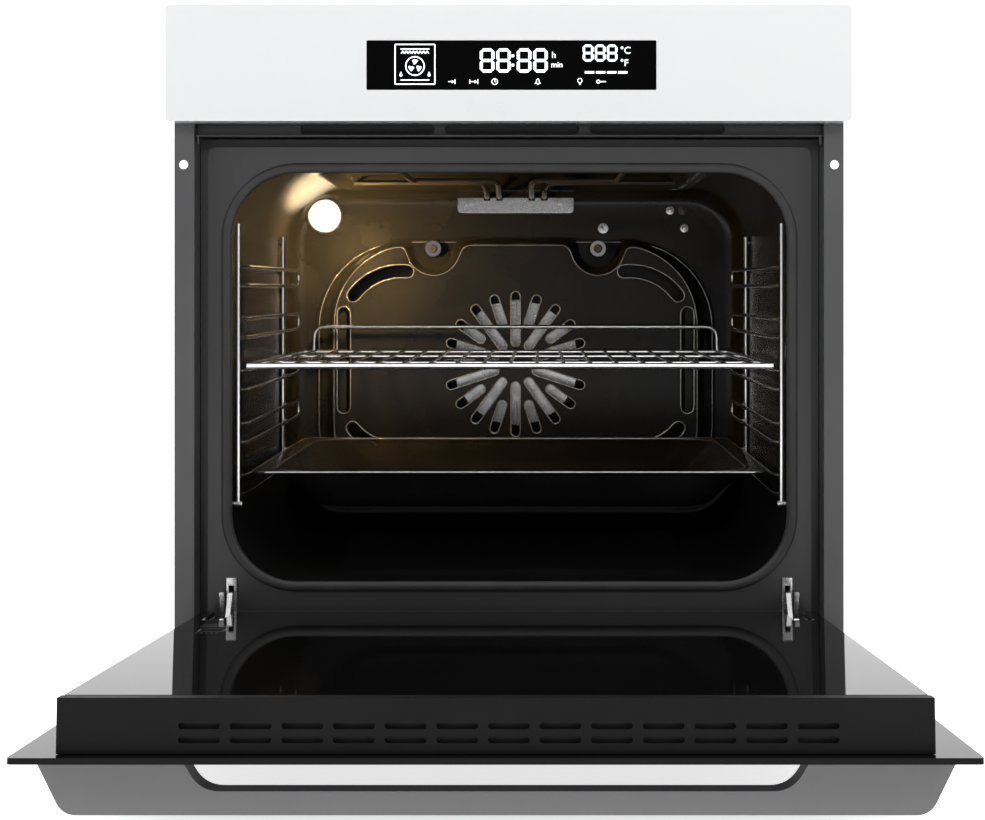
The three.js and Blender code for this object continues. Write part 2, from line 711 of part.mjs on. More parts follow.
// The steel channel inside the door that turns on the hinge pin.
function hingeBody(side) {
  const cheeks = [[241.8, 243.4], [250.6, 252.2]].map(([near, far]) =>
    box(side * near, side * far, -290.6, -267, 31, 176));
  const web = box(side * 241.8, side * 252.2, -290.6, -289.6, 47, 176);
  const bore = rod([side * 238, HINGE_Y, HINGE_Z], [side * 256, HINGE_Y, HINGE_Z], 2.9, 14);
  return cut(join(...cheeks, web), bore);
}

function hingePin(side) {
  const shank = rod([side * 240.8, HINGE_Y, HINGE_Z], [side * 253.2, HINGE_Y, HINGE_Z], 2.5, 14);
  const head = rod([side * 252.5, HINGE_Y, HINGE_Z], [side * 253.6, HINGE_Y, HINGE_Z], 3.6, 14);
  return join(shank, head);
}

// ---------------------------------------------------------------- door, drawn closed

// Clear space round each hinge at the foot of the door.
function hingeNotch(side, yFront, yBack) {
  return box(side * 240.4, side * 257.8, yFront, yBack, 20, 92);
}

function doorOuterGlass() {
  const pane = plateXZ(roundedRect(-FRONT_HALF, FRONT_HALF, DOOR_BOTTOM, DOOR_TOP, 3), FRONT_Y,
    OUTER_GLASS_BACK, 3);
  return cut(pane, ...[-1, 1].map((side) => rod([side * 243, -300, 455], [side * 243, -290, 455], 3.4, 12)));
}

function doorInnerGlass() {
  const pane = plateXZ(roundedRect(-268.5, 268.5, 29, RAIL_TOP - 10.5, 3), DOOR_INNER_Y - 4, DOOR_INNER_Y, 3);
  return cut(pane, ...[-1, 1].map((side) => hingeNotch(side, -270, -250)));
}

function doorMiddleGlass() {
  return box(-239.5, 239.5, -278, -274, 40, 461);
}

function doorTopRail() {
  const top = box(-DOOR_HALF, DOOR_HALF, -291.7, DOOR_INNER_Y, RAIL_TOP - 1.5, RAIL_TOP);
  const frontFlange = box(-DOOR_HALF, DOOR_HALF, -291.7, -290.2, 462, RAIL_TOP);
  const backFlange = box(-DOOR_HALF, DOOR_HALF, DOOR_INNER_Y - 1.5, DOOR_INNER_Y, RAIL_TOP - 10, RAIL_TOP);
  const slots = [];
  for (let i = -6; i <= 6; i += 1) {
    const x = VENT_CENTRE + i * 31.7;
    for (const y of [OUTER_GLASS_BACK + 8.9, OUTER_GLASS_BACK + 17.4]) {
      const opening = slot([x - 10.9, y], [x + 10.9, y], 3.9);
      slots.push(plateXY(opening, RAIL_TOP - 5, RAIL_TOP + 5, 1));
    }
  }
  return cut(join(top, frontFlange, backFlange), ...slots);
}

function doorSideRail(side) {
  const outer = box(side * 255, side * DOOR_HALF, -291.7, -261.8, 29, 461.7);
  const hollow = box(side * 250, side * (DOOR_HALF - 1.5), -290.2, -263.3, 20, 490);
  return cut(outer, hollow, hingeNotch(side, -275, -255));
}

function doorBottomRail() {
  const foot = box(-254, 254, -291.7, DOOR_INNER_Y, 26, 28);
  const frontFlange = box(-254, 254, -291.7, -290.9, 26, 43);
  return cut(join(foot, frontFlange), ...[-1, 1].map((side) => hingeNotch(side, -290.9, -250)));
}

function doorHandle() {
  const base = FRONT_Y - GAP;
  const outer = base - 36;
  const outline = softPolygon([
    [-289, base, 1], [-270, outer, 9], [270, outer, 9], [289, base, 1],
    [197, base, 1], [183, outer + 15, 9], [-183, outer + 15, 9], [-197, base, 1]]);
  const bar = plateXY(outline, 446, 464, 3);
  const boltHole = (side) => rod([side * 243, base - 14, 455], [side * 243, base + 5, 455], 3.1, 12);
  return cut(bar, boltHole(-1), boltHole(1));
}

function handleBolt(side) {
  const shank = rod([side * 243, FRONT_Y - 13, 455], [side * 243, -290, 455], 2.7, 12);
  const head = rod([side * 243, -291.7, 455], [side * 243, -288.5, 455], 5.5, 12);
  return join(shank, head);
}

// ---------------------------------------------------------------- materials

function finish(colour, roughness, metalness) {
  return () => new THREE.MeshStandardMaterial({ color: colour, roughness, metalness });
}

const galvanised = finish(0x9a9d9f, 0.45, 0.9);
const greyPaint = finish(0x6d6e70, 0.4, 0.3);
const darkPaint = finish(0x3a3b3d, 0.45, 0.2);
const blackEnamel = finish(0x121213, 0.15, 0.1);
const gasketRubber = finish(0x111111, 0.8, 0);
const whiteGlass = finish(0xf2f3f4, 0.12, 0);
const blackGlass = finish(0x060607, 0.06, 0);
const tintedGlass = finish(0x0b0b0c, 0.05, 0);
const clearGlass = finish(0xe8e4d6, 0.1, 0);
const blackPlastic = finish(0x1b1b1c, 0.6, 0);
const circuitGreen = finish(0x1f4d33, 0.5, 0);
const brightSteel = finish(0xc9cbcd, 0.25, 1);
const chromedWire = finish(0xd9dbdd, 0.15, 1);
const heaterSheath = finish(0x4b4a47, 0.4, 0.9);
const greyWool = finish(0xb9b4a6, 0.95, 0);
const satinGrey = finish(0x7d7f82, 0.35, 0.6);
const ceramicWhite = finish(0xe6e2d8, 0.5, 0);

// ---------------------------------------------------------------- assembly

const oven = new THREE.Group();

function place(group, name, body, material) {
  const mesh = new THREE.Mesh(geometryOf(body), material());
  mesh.name = name;
  group.add(mesh);
}

function placePair(group, name, build, material) {
  place(group, `${name}_left`, build(-1), material);
  place(group, `${name}_right`, build(1), material);
}

place(oven, 'base_plate', basePlate(), galvanised);
placePair(oven, 'side_panel', sidePanel, galvanised);
place(oven, 'top_cover', topCover(), galvanised);
place(oven, 'rear_cover', rearCover(), galvanised);
placePair(oven, 'front_column', frontColumn, greyPaint);
place(oven, 'lower_trim', lowerTrim(), darkPaint);
place(oven, 'face_frame', faceFrame(), darkPaint);
place(oven, 'cavity_gasket', cavityGasket(), gasketRubber);
place(oven, 'vent_plate', ventPlate(), darkPaint);
place(oven, 'cavity_liner', cavityLiner(), blackEnamel);
place(oven, 'insulation_blanket', insulationBlanket(), greyWool);
place(oven, 'fan_cover', fanCover(), blackEnamel);
placePair(oven, 'cover_screw', coverScrew, brightSteel);
place(oven, 'grill_plate', grillPlate(), brightSteel);
place(oven, 'grill_element_inner', grillElement(18, 110, -120, 60), heaterSheath);
place(oven, 'grill_element_outer', grillElement(32, 190, -165, 90), heaterSheath);
place(oven, 'ring_element', ringElement(), heaterSheath);
place(oven, 'bottom_element', bottomElement(), heaterSheath);
place(oven, 'lamp_socket', lampSocket(), ceramicWhite);
place(oven, 'lamp_bulb', lampBulb(), clearGlass);
place(oven, 'lamp_glass', lampGlass(), clearGlass);
place(oven, 'temperature_probe', temperatureProbe(), brightSteel);
placePair(oven, 'side_rack', sideRack, chromedWire);
place(oven, 'convection_fan', convectionFan(), brightSteel);
place(oven, 'fan_motor', fanMotor(), galvanised);
place(oven, 'air_duct', airDuct(), galvanised);
place(oven, 'blower_housing', blowerHousing(), galvanised);
place(oven, 'cooling_impeller', coolingImpeller(), blackPlastic);
place(oven, 'cooling_motor', coolingMotor(), galvanised);
place(oven, 'mains_inlet', mainsInlet(), blackPlastic);
place(oven, 'control_fascia', controlFascia(), whiteGlass);
place(oven, 'display_window', displayWindow(), blackGlass);
place(oven, 'control_carrier', controlCarrier(), blackPlastic);
place(oven, 'control_module', controlModule(), circuitGreen);
placePair(oven, 'hinge_receiver', hingeReceiver, brightSteel);
placePair(oven, 'hinge_arm', hingeArm, brightSteel);
placePair(oven, 'hinge_latch', hingeLatch, brightSteel);
place(oven, 'wire_shelf', wireShelf(), chromedWire);
place(oven, 'baking_tray', bakingTray(), blackEnamel);

// The door is drawn closed about its hinge line, then swung down by the opening angle.
const doorHinge = new THREE.Group();
doorHinge.position.set(0, HINGE_Y, HINGE_Z);
doorHinge.rotation.x = THREE.MathUtils.degToRad(DOOR_OPEN_DEG);
oven.add(doorHinge);

const door = new THREE.Group();
door.position.set(0, -HINGE_Y, -HINGE_Z);
doorHinge.add(door);

place(door, 'door_outer_glass', doorOuterGlass(), tintedGlass);
place(door, 'door_middle_glass', doorMiddleGlass(), clearGlass);
place(door, 'door_inner_glass', doorInnerGlass(), tintedGlass);
place(door, 'door_top_rail', doorTopRail(), blackPlastic);
placePair(door, 'door_side_rail', doorSideRail, darkPaint);
place(door, 'door_bottom_rail', doorBottomRail(), darkPaint);
placePair(door, 'hinge_body', hingeBody, brightSteel);
placePair(door, 'hinge_pin', hingePin, brightSteel);
place(door, 'door_handle', doorHandle(), satinGrey);
placePair(door, 'handle_bolt', handleBolt, brightSteel);

export default oven;
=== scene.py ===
"""A built-in wall oven with its glass door open: looks, lighting and camera."""

import json
import math

import bmesh
import bpy
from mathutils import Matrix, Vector


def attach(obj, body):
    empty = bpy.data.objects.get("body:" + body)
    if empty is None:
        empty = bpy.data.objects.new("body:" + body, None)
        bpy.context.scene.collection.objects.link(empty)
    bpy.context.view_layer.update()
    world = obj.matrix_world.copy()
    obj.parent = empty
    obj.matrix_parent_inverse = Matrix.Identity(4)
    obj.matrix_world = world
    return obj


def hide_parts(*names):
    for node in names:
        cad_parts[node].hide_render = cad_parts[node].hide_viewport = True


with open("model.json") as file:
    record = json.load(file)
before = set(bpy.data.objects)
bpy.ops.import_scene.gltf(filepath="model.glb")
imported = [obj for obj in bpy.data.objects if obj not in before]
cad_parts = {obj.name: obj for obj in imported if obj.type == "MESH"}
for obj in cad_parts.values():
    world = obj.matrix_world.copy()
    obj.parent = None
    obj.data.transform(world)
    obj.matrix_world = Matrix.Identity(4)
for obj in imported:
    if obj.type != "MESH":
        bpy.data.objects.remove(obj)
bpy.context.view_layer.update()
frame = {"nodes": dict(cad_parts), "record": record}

MM = 0.001

# Driving sizes in millimetres, in the oven's own frame.
CAVITY = {"half": 250.0, "bottom": 86.0, "top": 458.0, "corner": 58.0}
GASKET = {"half": 256.5, "bottom": 79.5, "top": 461.0, "corner": 68.0}
FAN_POCKET = {"half": 190.0, "bottom": 150.0, "top": 390.0, "corner": 60.0}
FAN_POCKET_BACK = 183.6
CAVITY_FRONT = -252.4
CAVITY_BACK = 143.0
REAR_CORNER = 15.0
FAN_Z = 265.0
SCREW_X, SCREW_Z = 92.0, 394.0
COVER_FRONT = 135.2
COVER_FOOT = 140.4
STAR_TIP = 76.0
STAR_LONG_START = 25.0
STAR_SHORT_START = 48.0
STAR_SLOT_WIDTH = 10.5
SIDE_SLOT_WIDTH = 15.0
LAMP_CENTRE = (-214.0, 123.6, 431.0)
RUNG_LEVELS = (369.0, 321.5, 274.0, 226.0, 179.0)
RUNG_DROP = 17.0
RACK_FRONT = -229.0
RACK_BACK = 112.0
RACK_POST_Y = 43.5
RACK_WALL_X = 246.0
RACK_RUNG_X = 239.5
SHELF_Z = 278.9
TRAY_RIM = 181.4
HINGE_Y, HINGE_Z = -286.0, 38.0
OPEN_ANGLE = math.radians(86)
FASCIA_FRONT = -296.0
KEY_ROW_Z = 506.0
DOOR_HALF = 269.9
DOOR_FRONT = -291.6
DOOR_BACK = -257.5
RAIL_TOP = 480.0
VENT_CENTRE = 8.0


# ---------------------------------------------------------------- outlines


def arc(cx, cz, radius, start, end, steps=10):
    """Points along an arc, angles in degrees."""
    points = []
    for i in range(steps + 1):
        angle = math.radians(start + (end - start) * i / steps)
        points.append((cx + radius * math.cos(angle), cz + radius * math.sin(angle)))
    return points


def rounded_rect(half, bottom, top, corner, steps=10, centre=0.0):
    left, right = centre - half, centre + half
    return (
        arc(right - corner, bottom + corner, corner, -90, 0, steps)
        + arc(right - corner, top - corner, corner, 0, 90, steps)
        + arc(left + corner, top - corner, corner, 90, 180, steps)
        + arc(left + corner, bottom + corner, corner, 180, 270, steps)
    )


def frame_rect(size, grow=0.0, steps=10):
    return rounded_rect(
        size["half"] + grow, size["bottom"] - grow, size["top"] + grow, size["corner"] + grow, steps
    )


def slot(start, end, width, steps=6):
    heading = math.degrees(math.atan2(end[1] - start[1], end[0] - start[0]))
    return arc(*end, width / 2, heading - 90, heading + 90, steps) + arc(
        *start, width / 2, heading + 90, heading + 270, steps
    )


def bent_slot(path, width, steps=6):
    """A slot that follows a bent centre line."""
    left, right = [], []
    for i, (x, z) in enumerate(path):
        ahead = path[min(i + 1, len(path) - 1)]
        behind = path[max(i - 1, 0)]
        along = Vector((ahead[0] - behind[0], ahead[1] - behind[1])).normalized()
        left.append((x - along.y * width / 2, z + along.x * width / 2))
        right.append((x + along.y * width / 2, z - along.x * width / 2))
    first = Vector(path[1]) - Vector(path[0])
    last = Vector(path[-1]) - Vector(path[-2])
    far = math.degrees(math.atan2(last.y, last.x))
    near = math.degrees(math.atan2(first.y, first.x))
    return (
        right
        + arc(*path[-1], width / 2, far - 90, far + 90, steps)
        + left[::-1]
        + arc(*path[0], width / 2, near + 90, near + 270, steps)
    )


def resample(points, count, start_angle=90.0, centre=(0.0, FAN_Z)):
    """The same closed outline as evenly spaced points, starting where it crosses start_angle."""
    turn = math.radians(start_angle)
    aim = Vector((math.cos(turn), math.sin(turn)))

    def facing(i):
        return (Vector(points[i]) - Vector(centre)).normalized().dot(aim)

    first = max(range(len(points)), key=facing)
    loop = [Vector(p) for p in points[first:] + points[:first]]
    loop.append(loop[0].copy())
    lengths = [0.0]
    for a, b in zip(loop, loop[1:]):
        lengths.append(lengths[-1] + (b - a).length)
    even, i = [], 0
    for k in range(count):
        want = lengths[-1] * k / count
        while lengths[i + 1] < want:
            i += 1
        share = (want - lengths[i]) / max(lengths[i + 1] - lengths[i], 1e-9)
        even.append(tuple(loop[i].lerp(loop[i + 1], share)))
    return even


def relax(points, passes):
    """Softens the corners of a closed outline."""
    for _ in range(passes):
        count = len(points)
        points = [
            tuple((Vector(points[i - 1]) + Vector(points[i]) * 2 + Vector(points[(i + 1) % count])) / 4)
            for i in range(count)
        ]
    return points


# ---------------------------------------------------------------- meshes


def place(mesh_object, body, finish_name):
    """Puts a new piece in the scene, on its moving body, with its material and slot."""
    bpy.context.scene.collection.objects.link(mesh_object)
    mesh_object.data.materials.append(MATERIALS[finish_name])
    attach(mesh_object, body)
    return mesh_object


def sharpen(mesh, angle=32):
    for face in mesh.polygons:
        face.use_smooth = True
    mesh.set_sharp_from_angle(angle=math.radians(angle))


def mesh_from(name, vertices, faces, angle=32):
    mesh = bpy.data.meshes.new(name)
    mesh.from_pydata([tuple(c * MM for c in v) for v in vertices], [], faces)
    mesh.validate()
    build = bmesh.new()
    build.from_mesh(mesh)
    bmesh.ops.remove_doubles(build, verts=build.verts, dist=1e-6)
    bmesh.ops.recalc_face_normals(build, faces=build.faces)
    build.to_mesh(mesh)
    build.free()
    sharpen(mesh, angle)
    return bpy.data.objects.new(name, mesh)


def loft(name, rings, close_first=False, close_last=False, angle=32):
    """Skins a row of closed rings that all have the same number of points."""
    count = len(rings[0])
    vertices = [point for ring in rings for point in ring]
    faces = []
    for r in range(len(rings) - 1):
        for i in range(count):
            j = (i + 1) % count
            faces.append((r * count + i, r * count + j, (r + 1) * count + j, (r + 1) * count + i))
    if close_first:
        faces.append(tuple(range(count)))
    if close_last:
        faces.append(tuple(range((len(rings) - 1) * count, len(rings) * count)))
    return mesh_from(name, vertices, faces, angle)


def at_depth(points, y):
    return [(x, y, z) for x, z in points]


def bevel(piece, width, segments=3, angle=30):
    edge = piece.modifiers.new("rounded_edges", "BEVEL")
    edge.width = width * MM
    edge.segments = segments
    edge.limit_method = "ANGLE"
    edge.angle_limit = math.radians(angle)
    edge.harden_normals = True
    return piece


def plate(name, outlines, front, back, edge=0.3):
    """A flat plate in X and Z with holes: the first outline is its rim and the others are cut out."""
    drawing = bpy.data.curves.new(name, "CURVE")
    drawing.dimensions = "2D"
    drawing.fill_mode = "BOTH"
    drawing.extrude = (back - front) / 2 * MM
    for outline in outlines:
        spline = drawing.splines.new("POLY")
        spline.points.add(len(outline) - 1)
        spline.use_cyclic_u = True
        for point, (x, z) in zip(spline.points, outline):
            point.co = (x * MM, z * MM, 0, 1)
    holder = bpy.data.objects.new(name, drawing)
    bpy.context.scene.collection.objects.link(holder)
    bpy.context.view_layer.update()
    graph = bpy.context.evaluated_depsgraph_get()
    mesh = bpy.data.meshes.new_from_object(holder.evaluated_get(graph))
    bpy.data.objects.remove(holder)
    middle = (front + back) / 2 * MM
    for vertex in mesh.vertices:
        x, z, depth = vertex.co
        vertex.co = (x, middle - depth, z)
    build = bmesh.new()
    build.from_mesh(mesh)
    bmesh.ops.remove_doubles(build, verts=build.verts, dist=1e-6)
    bmesh.ops.dissolve_limit(
        build, angle_limit=0.01, use_dissolve_boundaries=False, verts=[], edges=build.edges)
    bmesh.ops.recalc_face_normals(build, faces=build.faces)
    build.to_mesh(mesh)
    build.free()
    sharpen(mesh)
    mesh.materials.clear()
    piece = bpy.data.objects.new(name, mesh)
    return bevel(piece, edge) if edge else piece


def rounded_path(corners, bend, steps=6):
    """A line through corners, each corner eased over the bend length."""
    points = [Vector(corners[0])]
    for before, here, after in zip(corners, corners[1:], corners[2:]):
        back = Vector(before) - Vector(here)
        ahead = Vector(after) - Vector(here)
        reach = min(bend, back.length * 0.5, ahead.length * 0.5)
        start = Vector(here) + back.normalized() * reach
        end = Vector(here) + ahead.normalized() * reach
        for i in range(steps + 1):
            t = i / steps
            points.append(start * (1 - t) ** 2 + Vector(here) * 2 * t * (1 - t) + end * t**2)
    points.append(Vector(corners[-1]))
    return points


def wires(name, paths, cyclic=False):
    """Round wires as one piece: each path is (points, radius)."""
    curve = bpy.data.curves.new(name, "CURVE")
    curve.dimensions = "3D"
    curve.bevel_depth = 1.0 * MM
    curve.bevel_resolution = 4
    curve.use_fill_caps = True
    for points, radius in paths:
        spline = curve.splines.new("POLY")
        spline.points.add(len(points) - 1)
        spline.use_cyclic_u = cyclic
        spline.use_smooth = True
        for point, place_at in zip(spline.points, points):
            point.co = (*[c * MM for c in place_at], 1)
            point.radius = radius
    return bpy.data.objects.new(name, curve)


def swing_open(points):
    """Turns points drawn on the closed door to where they are with the door open."""
    opened = []
    for x, y, z in points:
        dy, dz = y - HINGE_Y, z - HINGE_Z
        opened.append((
            x,
            HINGE_Y + dy * math.cos(OPEN_ANGLE) - dz * math.sin(OPEN_ANGLE),
            HINGE_Z + dy * math.sin(OPEN_ANGLE) + dz * math.cos(OPEN_ANGLE),
        ))
    return opened


# ---------------------------------------------------------------- materials

MATERIALS = {}


def surface_marks_group():
    """Shared fine detail: soft blotches of a worn tint, and grain, as varying outputs."""
    group = bpy.data.node_groups.new("surface_marks", "ShaderNodeTree")
    wants = (
        ("Colour", "NodeSocketColor", (0.5, 0.5, 0.5, 1)),
        ("Worn Colour", "NodeSocketColor", (0.5, 0.5, 0.5, 1)),
        ("Roughness", "NodeSocketFloat", 0.4),
        ("Spread", "NodeSocketFloat", 0.08),
        ("Size", "NodeSocketFloat", 8.0),
        ("Grain Size", "NodeSocketFloat", 400.0),
        ("Bump", "NodeSocketFloat", 0.1),
        ("Stretch", "NodeSocketVector", (1, 1, 1)),
    )
    for name, kind, value in wants:
        socket = group.interface.new_socket(name=name, in_out="INPUT", socket_type=kind)
        socket.default_value = value
    for name, kind in (
        ("Colour", "NodeSocketColor"),
        ("Roughness", "NodeSocketFloat"),
        ("Normal", "NodeSocketVector"),
    ):
        group.interface.new_socket(name=name, in_out="OUTPUT", socket_type=kind)
    nodes, links = group.nodes, group.links
    given = nodes.new("NodeGroupInput")
    result = nodes.new("NodeGroupOutput")
    where = nodes.new("ShaderNodeTexCoord")
    stretch = nodes.new("ShaderNodeVectorMath")
    stretch.operation = "MULTIPLY"
    links.new(where.outputs["Object"], stretch.inputs[0])
    links.new(given.outputs["Stretch"], stretch.inputs[1])
    blotch = nodes.new("ShaderNodeTexNoise")
    blotch.inputs["Detail"].default_value = 4
    links.new(where.outputs["Object"], blotch.inputs["Vector"])
    links.new(given.outputs["Size"], blotch.inputs["Scale"])
    grain = nodes.new("ShaderNodeTexNoise")
    grain.inputs["Detail"].default_value = 3
    links.new(stretch.outputs[0], grain.inputs["Vector"])
    links.new(given.outputs["Grain Size"], grain.inputs["Scale"])
    rubbed = nodes.new("ShaderNodeMapRange")
    rubbed.inputs["From Min"].default_value = 0.48
    rubbed.inputs["From Max"].default_value = 0.75
    links.new(blotch.outputs["Fac"], rubbed.inputs["Value"])
    tint = nodes.new("ShaderNodeMix")
    tint.data_type = "RGBA"
    links.new(rubbed.outputs["Result"], tint.inputs["Factor"])
    links.new(given.outputs["Colour"], tint.inputs["A"])
    links.new(given.outputs["Worn Colour"], tint.inputs["B"])
    mixed = nodes.new("ShaderNodeMath")
    mixed.operation = "ADD"
    links.new(blotch.outputs["Fac"], mixed.inputs[0])
    links.new(grain.outputs["Fac"], mixed.inputs[1])
    centred = nodes.new("ShaderNodeMath")
    centred.operation = "SUBTRACT"
    centred.inputs[1].default_value = 1.0
    links.new(mixed.outputs[0], centred.inputs[0])
    spread = nodes.new("ShaderNodeMath")
    spread.operation = "MULTIPLY_ADD"
    links.new(centred.outputs[0], spread.inputs[0])
    links.new(given.outputs["Spread"], spread.inputs[1])
    links.new(given.outputs["Roughness"], spread.inputs[2])
    bump = nodes.new("ShaderNodeBump")
    bump.inputs["Distance"].default_value = 0.0004
    links.new(given.outputs["Bump"], bump.inputs["Strength"])
    links.new(grain.outputs["Fac"], bump.inputs["Height"])
    links.new(tint.outputs["Result"], result.inputs["Colour"])
    links.new(spread.outputs[0], result.inputs["Roughness"])
    links.new(bump.outputs["Normal"], result.inputs["Normal"])
    return group


SURFACE_MARKS = surface_marks_group()


def finish(
    name, colour, worn, roughness, spread=0.06, metallic=0.0, size=8.0, grain=400.0, bump=0.1,
    stretch=(1, 1, 1), coat=0.0, transmission=0.0, specular=0.5, glow=None, strength=0.0,
):
    """One named finish: a Principled surface fed by the shared marks."""
    material = bpy.data.materials.new(name)
    material.use_nodes = True
    nodes, links = material.node_tree.nodes, material.node_tree.links
    surface = nodes["Principled BSDF"]
    marks = nodes.new("ShaderNodeGroup")
    marks.node_tree = SURFACE_MARKS
    marks.inputs["Colour"].default_value = (*colour, 1)
    marks.inputs["Worn Colour"].default_value = (*worn, 1)
    marks.inputs["Roughness"].default_value = roughness
    marks.inputs["Spread"].default_value = spread
    marks.inputs["Size"].default_value = size
    marks.inputs["Grain Size"].default_value = grain
    marks.inputs["Bump"].default_value = bump
    marks.inputs["Stretch"].default_value = stretch
    links.new(marks.outputs["Colour"], surface.inputs["Base Color"])
    links.new(marks.outputs["Roughness"], surface.inputs["Roughness"])
    links.new(marks.outputs["Normal"], surface.inputs["Normal"])
    surface.inputs["Metallic"].default_value = metallic
    surface.inputs["Coat Weight"].default_value = coat
    surface.inputs["Coat Roughness"].default_value = 0.04
    surface.inputs["Transmission Weight"].default_value = transmission
    surface.inputs["Specular IOR Level"].default_value = specular
    if glow:
        surface.inputs["Emission Color"].default_value = (*glow, 1)
        surface.inputs["Emission Strength"].default_value = strength
    MATERIALS[name] = material
    return material


def make_finishes():
    finish("galvanised_steel", (0.36, 0.365, 0.37), (0.31, 0.315, 0.325), 0.38, 0.2, 1.0, 60, 900, 0.06)
    finish("grey_paint", (0.050, 0.050, 0.052), (0.064, 0.064, 0.066), 0.42, 0.1, 0.2, 5, 1500, 0.08)
    finish("dark_paint", (0.018, 0.018, 0.0185), (0.024, 0.024, 0.0245), 0.34, 0.1, 0.0, 4, 1600, 0.08)
    finish("black_enamel", (0.0050, 0.0050, 0.0050), (0.008, 0.008, 0.008), 0.15, 0.06, 0.0, 14, 900, 0.32,
           specular=0.2)
    finish("gasket_rubber", (0.008, 0.008, 0.008), (0.014, 0.014, 0.014), 0.6, 0.1, 0.0, 40, 2600, 0.35)
    finish("white_glass", (0.575, 0.578, 0.584), (0.562, 0.565, 0.571), 0.10, 0.04, 0.0, 3, 700, 0.01,
           coat=0.3)
    finish("black_glass", (0.0012, 0.0012, 0.0012), (0.0016, 0.0016, 0.0016), 0.12, 0.03, 0.0, 6, 900, 0.01,
           specular=0.03)
    finish("tinted_glass", (0.003, 0.003, 0.0031), (0.004, 0.004, 0.004), 0.03, 0.02, 0.0, 5, 900, 0.01,
           specular=0.09)
    finish("clear_glass", (0.9, 0.92, 0.91), (0.86, 0.88, 0.87), 0.04, 0.03, 0.0, 10, 700, 0.02,
           transmission=0.95)
    finish("lamp_lens", (1.0, 0.9, 0.72), (1.0, 0.84, 0.6), 0.25, 0.1, 0.0, 60, 500, 0.2,
           glow=(1.0, 0.83, 0.55), strength=2.2)
    finish("black_plastic", (0.0045, 0.0045, 0.0047), (0.0065, 0.0065, 0.0065),
           0.5, 0.12, 0.0, 10, 2200, 0.2, specular=0.12)
    finish("circuit_board", (0.015, 0.06, 0.03), (0.02, 0.09, 0.04), 0.4, 0.1, 0.0, 200, 900, 0.1)
    finish("bright_steel", (0.62, 0.62, 0.62), (0.5, 0.5, 0.51), 0.26, 0.14, 1.0, 80, 1200, 0.1)
    finish("chromed_wire", (0.92, 0.92, 0.93), (0.82, 0.81, 0.80), 0.2, 0.1, 1.0, 60, 900, 0.05)
    finish("heater_sheath", (0.07, 0.065, 0.06), (0.12, 0.09, 0.07), 0.4, 0.16, 0.8, 40, 1300, 0.2)
    finish("mineral_wool", (0.5, 0.47, 0.4), (0.36, 0.34, 0.28), 0.95, 0.04, 0.0, 90, 500, 0.9)
    finish("satin_grey", (0.125, 0.125, 0.128), (0.14, 0.14, 0.143), 0.36, 0.08, 0.45, 6, 1400, 0.06,
           stretch=(0.04, 1, 1))
    finish("white_ceramic", (0.75, 0.73, 0.68), (0.6, 0.58, 0.53), 0.6, 0.1, 0.0, 120, 700, 0.3)
    finish("display_light", (0.9, 0.93, 0.95), (0.8, 0.84, 0.87), 0.4, 0.05, 0.0, 60, 500, 0.02,
           glow=(0.92, 0.95, 1.0), strength=1.15)
    finish("key_print", (0.50, 0.50, 0.51), (0.47, 0.47, 0.48), 0.3, 0.05, 0.0, 60, 500, 0.02)
    finish("glass_print", (0.16, 0.16, 0.16), (0.12, 0.12, 0.12), 0.5, 0.05, 0.0, 80, 500, 0.05)
    # A bright metal-like finish for thin beads that are painted highlights on black enamel edges.
    finish("painted_edge_highlight", (0.50, 0.50, 0.50), (0.40, 0.40, 0.40), 0.24, 0.08, 0.9, 60, 900, 0.05)
    finish("vent_shadow", (0.003, 0.003, 0.003), (0.006, 0.006, 0.006), 0.7, 0.1, 0.0, 40, 1200, 0.1)


make_finishes()


def dress_frame_nodes():
    """Gives every carried-over node its finish and soft, rounded edges."""
    slots = {s["node"]: s["material_slot"] for s in frame["record"]["subparts"]}
    for name, piece in frame["nodes"].items():
        piece.data.materials.clear()
        piece.data.materials.append(MATERIALS[slots[name]])
        weld = piece.modifiers.new("weld", "WELD")
        weld.merge_threshold = 0.00002
        for face in piece.data.polygons:
            face.use_smooth = True
        bevel(piece, 0.3, 2, 34).modifiers["rounded_edges"].harden_normals = False
        even = piece.modifiers.new("even_shading", "WEIGHTED_NORMAL")
        even.mode = "FACE_AREA_WITH_ANGLE"
        even.weight = 100
        even.keep_sharp = True


dress_frame_nodes()


# ---------------------------------------------------------------- cavity


def smoothstep(edge_low, edge_high, value):
    t = min(max((value - edge_low) / (edge_high - edge_low), 0.0), 1.0)
    return t * t * (3 - 2 * t)


def inside_rounded(u, v, half_u, half_v, corner):
    """How far a point lies inside a rounded rectangle centred at the origin."""
    du = abs(u) - (half_u - corner)
    dv = abs(v) - (half_v - corner)
    outside = math.hypot(max(du, 0.0), max(dv, 0.0))
    return corner - outside - min(max(du, dv), 0.0)


def press_liner(x, y, z):
    """Embosses the ceiling recess, the floor panel and the side panels of the cavity."""
    if z > CAVITY["top"] - 0.6 and abs(x) < 225:
        depth = inside_rounded(x, y + 35, 185, 160, 60)
        z += 15.4 * smoothstep(-1.0, 14.0, depth)
    if z < CAVITY["bottom"] + 0.6 and abs(x) < 192:
        depth = inside_rounded(x, y + 50, 176, 150, 46)
        z += 3.2 * smoothstep(0.0, 9.0, depth)
    if abs(x) > CAVITY["half"] - 0.6:
        depth = inside_rounded(y + 45, z - 272, 150, 100, 40)
        x -= math.copysign(1.4 * smoothstep(0.0, 8.0, depth), x)
    return (x, y, z)


